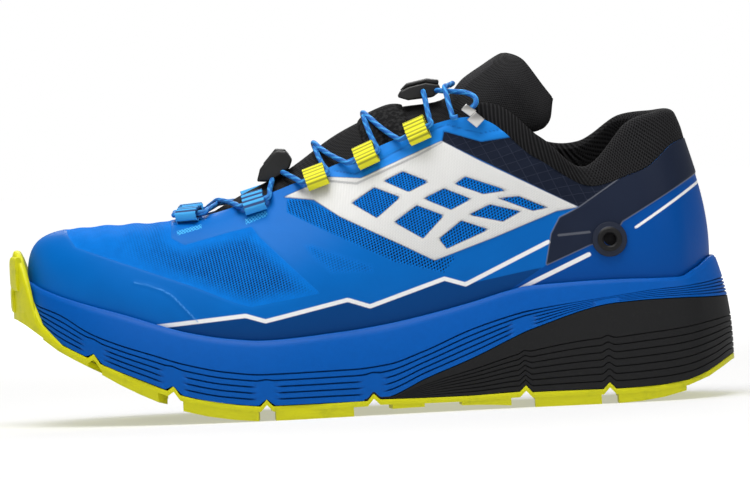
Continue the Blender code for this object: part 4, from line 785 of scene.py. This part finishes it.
foot_ring = hoop(upper_rows, lean(upper_rows, grid[0, :, 0], foot_rim) + 2.4,
                 foot_rim - along_sole(side_cup, grid[0, :, 0]) + 0.6)[None]
inner_ring = foot_ring - outs[:1] * 2.0
inner = (grid - outs * 2.0)[::-7]
rolled = shown[-1:] - outs[-1:] * 1.0 + np.gradient(grid, axis=0)[-1:] * 0.3
lines = np.concatenate([foot_ring, shown, rolled, inner, inner_ring]) / 1e3
before, after = 1, len(lines) - 1 - len(shown)
facts = {name: np.pad(values, ((before, after), (0, 0)), constant_values=-9.0)
         for name, values in cut.items()}
facts["open"] = np.pad(openness, ((before, after), (0, 0)))
facts["inside"] = np.concatenate([np.zeros((before + len(shown), len(upper_rows))),
                                  np.ones((after, len(upper_rows)))])
facts["u"] = lines[..., 0] * 1e3
facts["v"] = (lines[..., 2] - np.abs(lines[..., 1] - 0.0011)) * 1e3
for fact in ("knit", "stay", "toe_edge"):
    facts[fact][0] = facts[fact][1]
upper = skin("upper_piece", lines, (True, True), (), 70, **facts)

bootee = Finish("knit_film_and_print", roughness=0.5, specular_ior_level=0.09)
fact = {name: bootee.attribute(name) for name in facts}
cover = {name: fact[name].above(0.0, 0.22) for name in cut}
u, v = fact["u"], fact["v"]
row_at, stitch_at = u * 0.906 + v * -0.423, u * 0.423 + v * 0.906
mesh_holes = (row_at * 4.5).maths("COSINE") * (stitch_at * 2.8).maths("COSINE")
holes = mesh_holes.above(0.24, 0.16) * fact["open"]
yarn = (stitch_at * 12.0 + (row_at * 4.0).maths("SINE")).maths("SINE") * 0.5 + 0.5
knit = bootee.blend(yarn * 0.6 + bootee.noise(260, 3) * 0.4, (0.0, 0.095, 0.42), (0.0, 0.23, 0.82))
knit = bootee.blend(holes, knit, (0.001, 0.002, 0.006))
haze = bootee.noise(35, 3)
film = bootee.blend(haze, (0.0, 0.108, 0.42), (0.0, 0.145, 0.54))
colour = bootee.blend(cover["shade"], film, (0.0, 0.050, 0.21))
colour = bootee.blend(cover["counter"], colour, (0.0, 0.068, 0.32))
netting = cover["knit"].maths("MAXIMUM", cover["mesh"]).maths("MAXIMUM", cover["window"]).maths(
    "MAXIMUM", fact["faded"].above(1.5, 1.5) * 0.8)
colour = bootee.blend(netting, colour, knit)
threads = ((u * 1.25 + v * 0.55).maths("SINE").above(0.965, 0.03)).maths(
    "MAXIMUM", (u * 0.35 + v * -1.5).maths("SINE").above(0.965, 0.03))
cloth = bootee.blend(threads * 0.5, (0.0085, 0.0125, 0.026), (0.030, 0.037, 0.062))
colour = bootee.blend(cover["ripstop"], colour, cloth)
heel_film = bootee.blend(haze, (0.0105, 0.0155, 0.034), (0.015, 0.022, 0.044))
colour = bootee.blend(cover["quarter"], colour, heel_film)
stay_film = bootee.blend(haze, (0.006, 0.18, 0.60), (0.014, 0.23, 0.72))
# The lines pressed into the eyestay are painted darker: painted shade in their grooves.
colour = bootee.blend(cover["stay"], colour, bootee.blend(fact["seam"].above(0.85, 0.25) * 0.55, stay_film,
                                                          (0.004, 0.07, 0.30)))
facet = ((u * 4.9).maths("SINE") * (v * 4.2 + u * 2.45).maths("SINE") * (v * 4.2 - u * 2.45).maths("SINE"))
print_white = bootee.blend(facet * 0.5 + 0.5, (0.56, 0.56, 0.555), (0.80, 0.80, 0.79))
colour = bootee.blend(cover["white"], colour, print_white)
colour = bootee.blend(cover["stripe"], colour, (0.88, 0.88, 0.88))
colour = bootee.blend(cover["piping"], colour, (0.88, 0.88, 0.88))
colour = bootee.blend(cover["toe_edge"] * 0.6, colour, (0.08, 0.32, 0.80))
# The quarter's edges and the line across it are painted light grey: a painted highlight.
quarter_edge_highlight = fact["quarter"].within(0.28, 0.14).maths("MAXIMUM", cover["fold"] * cover["quarter"])
colour = bootee.blend(quarter_edge_highlight * 0.55, colour, (0.16, 0.17, 0.20))
# Thin lines along the edges of the eyestay film and the white print are painted dark: painted shade at their
# raised edges.
overlay_edge_shade = fact["stay"].within(0.35, 0.2).maths("MAXIMUM", fact["white"].within(0.25, 0.15))
colour = bootee.blend(overlay_edge_shade * 0.35, colour, (0.002, 0.010, 0.04))
back_stitch = (u * 4.6 - v * 2.6).maths("SINE")
zigzag = (u * 4.6 + v * 2.0).maths("SINE").maths("MAXIMUM", back_stitch).above(0.35, 0.3)
colour = bootee.blend(cover["tacks"] * zigzag * 0.9, colour, (0.06, 0.42, 0.78))
colour = bootee.blend(cover["ring_bore"], colour, (0.003, 0.003, 0.0035))
colour = bootee.blend(fact["inside"], colour, (0.014, 0.014, 0.015))
bootee.plug(bootee.shader.inputs["Base Color"], colour)
bootee.plug(bootee.shader.inputs["Roughness"], bootee.between(
    netting.maths("MAXIMUM", cover["ripstop"]).maths("MAXIMUM", fact["inside"]), 0.46, 0.8))
relief = (netting * (yarn * 0.3 - holes * 1.2)
          + cover["ripstop"] * (threads * 0.5 + bootee.noise(420, 4) * 0.9)
          + cover["white"] * facet * 0.35 + bootee.noise(800, 3) * 0.12)
bootee.bump(relief, 0.00035, 0.8)
bootee.wear(upper)
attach(upper, "root")
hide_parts("upper", "toe_cap", "heel_counter", "eyestay_lateral", "eyestay_medial")

# Collar padding: foam rolled in black knit. A corded binding edges it from the throat to the
# low point; behind that the knit shows its small dotted rows.
def pad_line(rows):
    """Outlines of the padding across its roll, a line of fourteen points for each row."""
    rows = np.asarray(rows, float)
    turned_rows = rows % 18
    share = np.clip(round_last(pad, turned_rows), 0, None)
    edge = 1 - share
    at = {c: face(turned_rows, np.full(len(rows), 1.0)[None] * c)[0] for c in (1.0, 0.97)}
    start = face(turned_rows, (edge + 0.02 * share)[None])[0]
    middle = face(turned_rows, (edge + share / 2)[None])[0]
    fine = rows[:, None] + np.array((-0.02, 0.02))
    beside = [face(fine[:, k] % 18, np.full((1, len(rows)), 1.0))[0] for k in (0, 1)]
    way = beside[0] - beside[1]
    up = at[1.0] - at[0.97]
    up /= np.linalg.norm(up, axis=1)[:, None]
    out = np.cross(up, way)
    out /= -np.linalg.norm(out, axis=1)[:, None]
    size = np.linalg.norm(at[1.0] - face(turned_rows, edge[None])[0], axis=1)
    wall = 4.5 + 4.0 * np.cos(np.pi / 2 * np.clip(np.abs(rows) / 5, 0, 1)) ** 0.7
    wall = np.minimum(wall, 2 * size)[:, None]
    low, lower = face(turned_rows, (edge - 0.30)[None])[0], face(turned_rows, (edge - 0.12)[None])[0]
    top = at[1.0]
    profile = [start + out * 0.2, middle + out * 0.4]
    for k in range(7):
        a = math.pi * k / 6
        profile.append(top - out * wall / 2 + (up * math.sin(a) + out * math.cos(a)) * wall / 2)
    profile += [lower - out * wall, low - out * (2.9 + wall / 4), low - out * 2.6,
                face(turned_rows, (edge - 0.15)[None])[0] - out * 2.6, start - out * 2.6]
    return np.stack(profile, 1)


collar_rows = np.linspace(5, -5, 260)
outline = pad_line(collar_rows)
profile = np.stack([smooth_line(np.vstack([line, line[:1]]), 4)[:-1] for line in outline])
gone = np.concatenate([[0], np.cumsum(np.linalg.norm(np.diff(outline[:, 5], axis=0), axis=1))])
climb = np.cumsum(np.linalg.norm(np.diff(profile, axis=1, prepend=profile[:, :1]), axis=2), axis=1)
binding = soft(np.abs(collar_rows), 2.7, 3.3)
collar = skin("collar_padding_piece", profile / 1e3, (False, True), (0, -1), 70,
              gone=np.repeat(gone, profile.shape[1]), climb=climb,
              binding=np.repeat(binding, profile.shape[1]))
knitted = Finish("black_knit", roughness=0.85, specular_ior_level=0.12)
gone_at, climb_at = knitted.attribute("gone"), knitted.attribute("climb")
dots = ((gone_at * 4.4).maths("COSINE") * (climb_at * 3.1).maths("COSINE")).above(0.25, 0.3)
rope = (gone_at * 3.3 + climb_at * 1.7).maths("SINE") * 0.5 + 0.5
relief = knitted.between(knitted.attribute("binding"), 1 - dots, rope)
knitted.plug(knitted.shader.inputs["Base Color"],
             knitted.blend(relief, (0.003, 0.003, 0.0035), (0.020, 0.020, 0.0215)))
knitted.bump(relief + knitted.noise(1200, 2) * 0.3, 0.0006, 0.9)
knitted.wear(collar)
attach(collar, "root")
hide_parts("collar_padding")

# Tongue: thin foam between two layers of black knit, sewn round its edge, with a smoother panel
# down its front where the label is printed on the real shoe. It is left bare here. Its lower
# lines are tucked behind the throat's edges, at shares of the upper's face.
def spot(row, share):
    """Point of the upper's outer face at one row."""
    return face(np.array([row]), np.array([[share]]))[0, 0]


def proud(row, share, height):
    """Point above the upper's outer face."""
    along = spot(row - 0.02, share) - spot(row + 0.02, share)
    up = spot(row, min(share + 0.02, 1.0)) - spot(row, share - 0.02)
    out = np.cross(along, up)
    return spot(row, share) + out / np.linalg.norm(out) * height


def tucked_line(row, lift, under, inside):
    """Across the throat: both edges lie behind the upper, the middle stands above it."""
    behind, edge = 3.2 + 4.5 * inside, 0.97 - under
    crown = (spot(row, 1 - under) + spot(18 - row, 1 - under)) / 2 + np.array((-6.0, 0, 12.0)) * lift
    return [proud(row, edge - 0.09, -behind - 0.3), proud(row, edge, -behind), crown,
            proud(18 - row, edge, -behind), proud(18 - row, edge - 0.09, -behind - 0.3)]


tongue_lines = [tucked_line(*place) for place in (
    (8.70, -0.40, 0.12, 0.0), (8.50, -0.36, 0.03, 0.0), (8.00, -0.14, 0.00, 0.0),
    (7.50, 0.04, 0.00, 0.0), (7.00, 0.26, 0.00, 0.0), (6.50, 0.42, 0.00, 0.0),
    (6.00, 0.84, 0.00, 0.0), (5.60, 0.80, 0.00, 0.4), (5.25, 0.40, 0.00, 1.0))]
tongue_lines += [
    ((66.0, -19.0, 111.5), (50.5, -15.6, 128.8), (41.4, 1.1, 134.9), (50.5, 17.7, 128.8),
     (66.0, 21.2, 111.5)),
    ((75.6, -19.8, 115.6), (60.0, -16.4, 135.4), (49.9, 1.1, 140.4), (60.0, 18.6, 135.4),
     (75.6, 22.0, 115.6)),
    ((78.0, -18.5, 125.6), (66.6, -14.5, 142.0), (58.0, 1.1, 146.4), (66.6, 16.7, 142.0),
     (78.0, 20.7, 125.6))]
fine = np.array([smooth_line(line, 8) for line in tongue_lines])
fine = np.stack([smooth_line(fine[:, k], 7) for k in range(fine.shape[1])], 1)
out = np.cross(np.gradient(fine, axis=0), np.gradient(fine, axis=1))
out /= np.linalg.norm(out, axis=-1)[..., None]
out *= np.sign(out[40, 16, 2])
near_end = np.clip((len(fine) - 1 - np.arange(len(fine))) / 9, 0, 1)
side_at = 1 - np.abs(np.linspace(-1, 1, fine.shape[1]))
full = np.sqrt(1 - (1 - near_end) ** 2)[:, None] * np.sqrt(1 - (1 - np.clip(side_at / 0.16, 0, 1)) ** 2)[None]
puff = 0.25 * np.sin(np.arange(len(fine))[:, None] * 0.55) * np.sin(side_at * math.pi)[None]
thick = 0.3 + 4.0 * full
front = fine - out * (2.1 - 2.1 * full)[..., None] + out * puff[..., None] * full[..., None]
back = fine - out * (2.1 - 2.1 * full + thick)[..., None]
tongue = skin("tongue_piece", np.concatenate([front, back[:, ::-1]], 1) / 1e3, (False, True), (0, -1), 80)
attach(tongue, "root")
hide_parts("tongue")
padding = Finish("tongue_knit", roughness=0.85, specular_ior_level=0.15)
place = padding.place()
across = padding.node("SeparateXYZ", {}, {0: place}, "Y") * 1000
away = padding.node("SeparateXYZ", {}, {0: place}, "X") * 1000
rise_at = padding.node("SeparateXYZ", {}, {0: place}, "Z") * 1000
cloth = (away * 4.6 - rise_at * 3.0 + across * 4.0).maths("SINE")
cloth = (away * 3.6 + rise_at * 5.4).maths("SINE") * cloth * 0.5 + 0.5
ahead_of = 1 - (away - (rise_at - 140) * 0.62).above(53.5, 0.3)
plain = (across - 1.1).within(9.0, 0.5) * rise_at.above(126, 0.5) * ahead_of
tone = padding.blend(cloth * 0.7 + padding.noise(90, 3) * 0.3, (0.007, 0.007, 0.0075), (0.022, 0.022, 0.0235))
padding.plug(padding.shader.inputs["Base Color"], padding.blend(plain, tone, (0.024, 0.024, 0.026)))
padding.bump(cloth + padding.noise(300, 4) * 0.6, 0.0003, 0.7)
padding.wear(tongue)

# Lace loops: short lengths of ribbed webbing folded over the cord and sewn down; the front two
# on each side are blue, the next three yellow. Each sits where its CAD node does.
def webbing(name, colour, light):
    made = Finish(name, roughness=0.72)
    rib = made.attribute("rib")
    made.plug(made.shader.inputs["Base Color"], made.blend(rib.above(0.40, 0.30), colour, light))
    made.bump(made.noise(1500, 2), 0.0001, 0.6)
    return made


yellow_webbing = webbing("yellow_webbing", (0.30, 0.30, 0.004), (0.80, 0.76, 0.010))
blue_webbing = webbing("blue_webbing", (0.002, 0.030, 0.14), (0.035, 0.36, 0.78))
def directions_of(node):
    """Corners of a CAD node, their middle, and its directions from the widest to the thinnest."""
    corners = np.array([vertex.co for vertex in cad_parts[node].data.vertices])
    middle = (corners.max(0) + corners.min(0)) / 2
    return corners, middle, np.linalg.svd(corners - corners.mean(0), full_matrices=False)[2]


for number, side in ((number, side) for number in range(1, 6) for side in (-1, 1)):
    name = "lace_loop_%s_%d" % ("lateral" if side < 0 else "medial", number)
    middle, (way, up, _) = directions_of(name)[1:]
    middle, way, up = middle * 1e3, way * np.sign(way[0]), up * np.sign(up[2])
    out = np.cross(way, up) * (-side)
    ribs = 4 if number < 3 else 6
    turn_at = np.linspace(0, 2 * math.pi, 120, endpoint=False)
    tall, deep = np.cos(turn_at), np.sin(turn_at)
    tall, deep = np.sign(tall) * np.abs(tall) ** 0.55, np.sign(deep) * np.abs(deep) ** 0.75
    rib = 0.5 + 0.5 * np.cos(tall * math.pi * ribs)
    rings, marks = [], []
    for share, wall in [(s, 0.0) for s in np.linspace(-1, 1, 15)] + [(s, 1.0) for s in np.linspace(1, -1, 3)]:
        frayed = 0.12 * np.sin(tall * 40 + side) * (abs(share) == 1)
        reach = 5.2 - wall
        thick = 2.5 - wall + (0.28 * rib if wall == 0 else 0)
        rings.append(middle + way * (share * 4.4 + frayed)[:, None] + up * (tall * reach)[:, None]
                     + out * (deep * thick)[:, None])
        marks.append(rib * (1.0 if wall == 0 else 0.2))
    loop = skin(name + "_piece", np.stack(rings) / 1e3, (True, True), (), 60, rib=np.stack(marks))
    (blue_webbing if number < 3 else yellow_webbing).wear(loop)
    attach(loop, "root")
    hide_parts(name)

# Fittings: the lock and the dock are moulded black nylon, the pocket a band of elastic, the
# gaiter rings moulded rubber set in the heel quarters, and the clip a folded strip of steel.
nylon = Finish("black_nylon", base_color=(0.010, 0.010, 0.0105), roughness=0.42, specular_ior_level=0.4)
nylon.bump(nylon.noise(900, 3), 0.00008, 0.5)


def block(name, outline, width, ease, *nodes, middle=1.1):
    """Moulded block: a side outline raised to a width, its edges eased."""
    bpy.ops.mesh.primitive_circle_add(vertices=len(outline), radius=0.01, fill_type="NGON")
    made = bpy.context.object
    made.name = name
    for vertex, (at, height) in zip(made.data.vertices, outline):
        vertex.co = (at / 1e3, (middle - width / 2) / 1e3, height / 1e3)
    bpy.ops.object.mode_set(mode="EDIT")
    bpy.ops.mesh.select_all(action="SELECT")
    bpy.ops.mesh.extrude_region_move(TRANSFORM_OT_translate={"value": (0, width / 1e3, 0)})
    bpy.ops.mesh.select_all(action="SELECT")
    bpy.ops.mesh.normals_make_consistent(inside=False)
    bpy.ops.object.mode_set(mode="OBJECT")
    easing = made.modifiers.new("eased", "BEVEL")
    easing.width, easing.segments, easing.limit_method = ease / 1e3, 3, "ANGLE"
    bpy.ops.object.modifier_apply(modifier="eased")
    smoothed(made, 35)
    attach(made, "root")
    if nodes:
        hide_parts(*nodes)
    return made


dock_side = ((-45.2, 96.6), (-43.8, 101.4), (-38.6, 107.6), (-36.4, 109.0), (-32.4, 108.4),
             (-30.2, 104.8), (-31.6, 101.2), (-35.2, 98.8), (-40.0, 96.2))
cap_side = ((-42.4, 103.6), (-37.0, 109.6), (-33.0, 109.2), (-31.4, 106.6), (-36.0, 105.4),
            (-40.2, 102.6))
lock_side = ((14.2, 128.6), (15.6, 131.0), (19.0, 132.6), (26.0, 134.0), (31.6, 133.0),
             (32.4, 130.4), (28.8, 127.9), (18.6, 127.1))
slide_side = ((15.4, 131.2), (18.3, 134.0), (26.6, 135.6), (31.6, 134.8), (31.4, 133.0),
              (26.0, 134.2), (19.0, 132.8))
dock = block("lace_dock_piece", dock_side, 15.0, 0.8, "lace_dock")
dock_cap = block("lace_dock_cap", cap_side, 9.6, 0.6)
lock = block("lace_lock_piece", lock_side, 15.0, 0.8, "lace_lock")
lock_slide = block("lace_lock_slide", slide_side, 11.4, 0.5)
rings = []
turn = np.arange(64)[None, :, None] / 64 * 2 * math.pi
for name in ("gaiter_ring_lateral", "gaiter_ring_medial"):
    corners, middle, (along, across, out) = directions_of(name)
    out = out * np.sign(out[1] * middle[1])
    seat = ((corners - middle) @ out).min()
    profile = np.array([(2.6, 0.0), (7.0, 0.0), (7.2, 0.3), (7.0, 0.62), (5.3, 0.75), (4.9, 1.15),
                        (4.5, 1.5), (3.9, 1.62), (3.3, 1.55), (2.9, 1.25), (2.6, 0.8)])
    reach, rise = profile[:, 0, None, None] / 1e3, seat + profile[:, 1, None, None] / 1e3
    ring = skin(name + "_piece", middle + reach * (np.cos(turn) * along + np.sin(turn) * across) + rise * out,
                (True, True), (), 40, reach=np.repeat(profile[:, 0], 64))
    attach(ring, "root")
    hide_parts(name)
    rings.append(ring)
nylon.wear(dock, dock_cap, lock, lock_slide)
ringed = Finish("ring_rubber", roughness=0.5, specular_ior_level=0.25)
ringed.plug(ringed.shader.inputs["Base Color"], ringed.blend(
    ringed.attribute("reach").above(5.05, 0.15), (0.006, 0.006, 0.0065), (0.012, 0.017, 0.034)))
ringed.wear(*rings)
pocket = copied("lace_pocket", rounds=2, angle=80)
elastic = Finish("black_elastic", roughness=0.9, specular_ior_level=0.2)
tuft = elastic.noise(650, 3)
elastic.plug(elastic.shader.inputs["Base Color"],
             elastic.blend(tuft.above(0.55, 0.1), (0.004, 0.004, 0.0045), (0.02, 0.02, 0.021)))
elastic.bump(tuft, 0.0008, 1.0)
elastic.wear(pocket)
clip = block("cord_clip_piece", ((42.2, 125.2), (46.4, 122.2), (43.8, 119.8), (39.9, 122.9)), 3.6, 0.4,
             "cord_clip", middle=-29.4)
clip_end = block("cord_clip_end", ((46.0, 121.7), (49.6, 118.5), (46.1, 115.1), (42.2, 118.7)), 2.6, 0.4,
                 middle=-29.9)
steel = Finish("steel", base_color=(0.62, 0.61, 0.59), metallic=1.0, roughness=0.28)
steel.wear(clip, clip_end)

# The cord's two free ends: from the lock to the clip, pulled nearly straight.
for piece in ("end_1", "end_2"):
    path = cord_paths[piece]
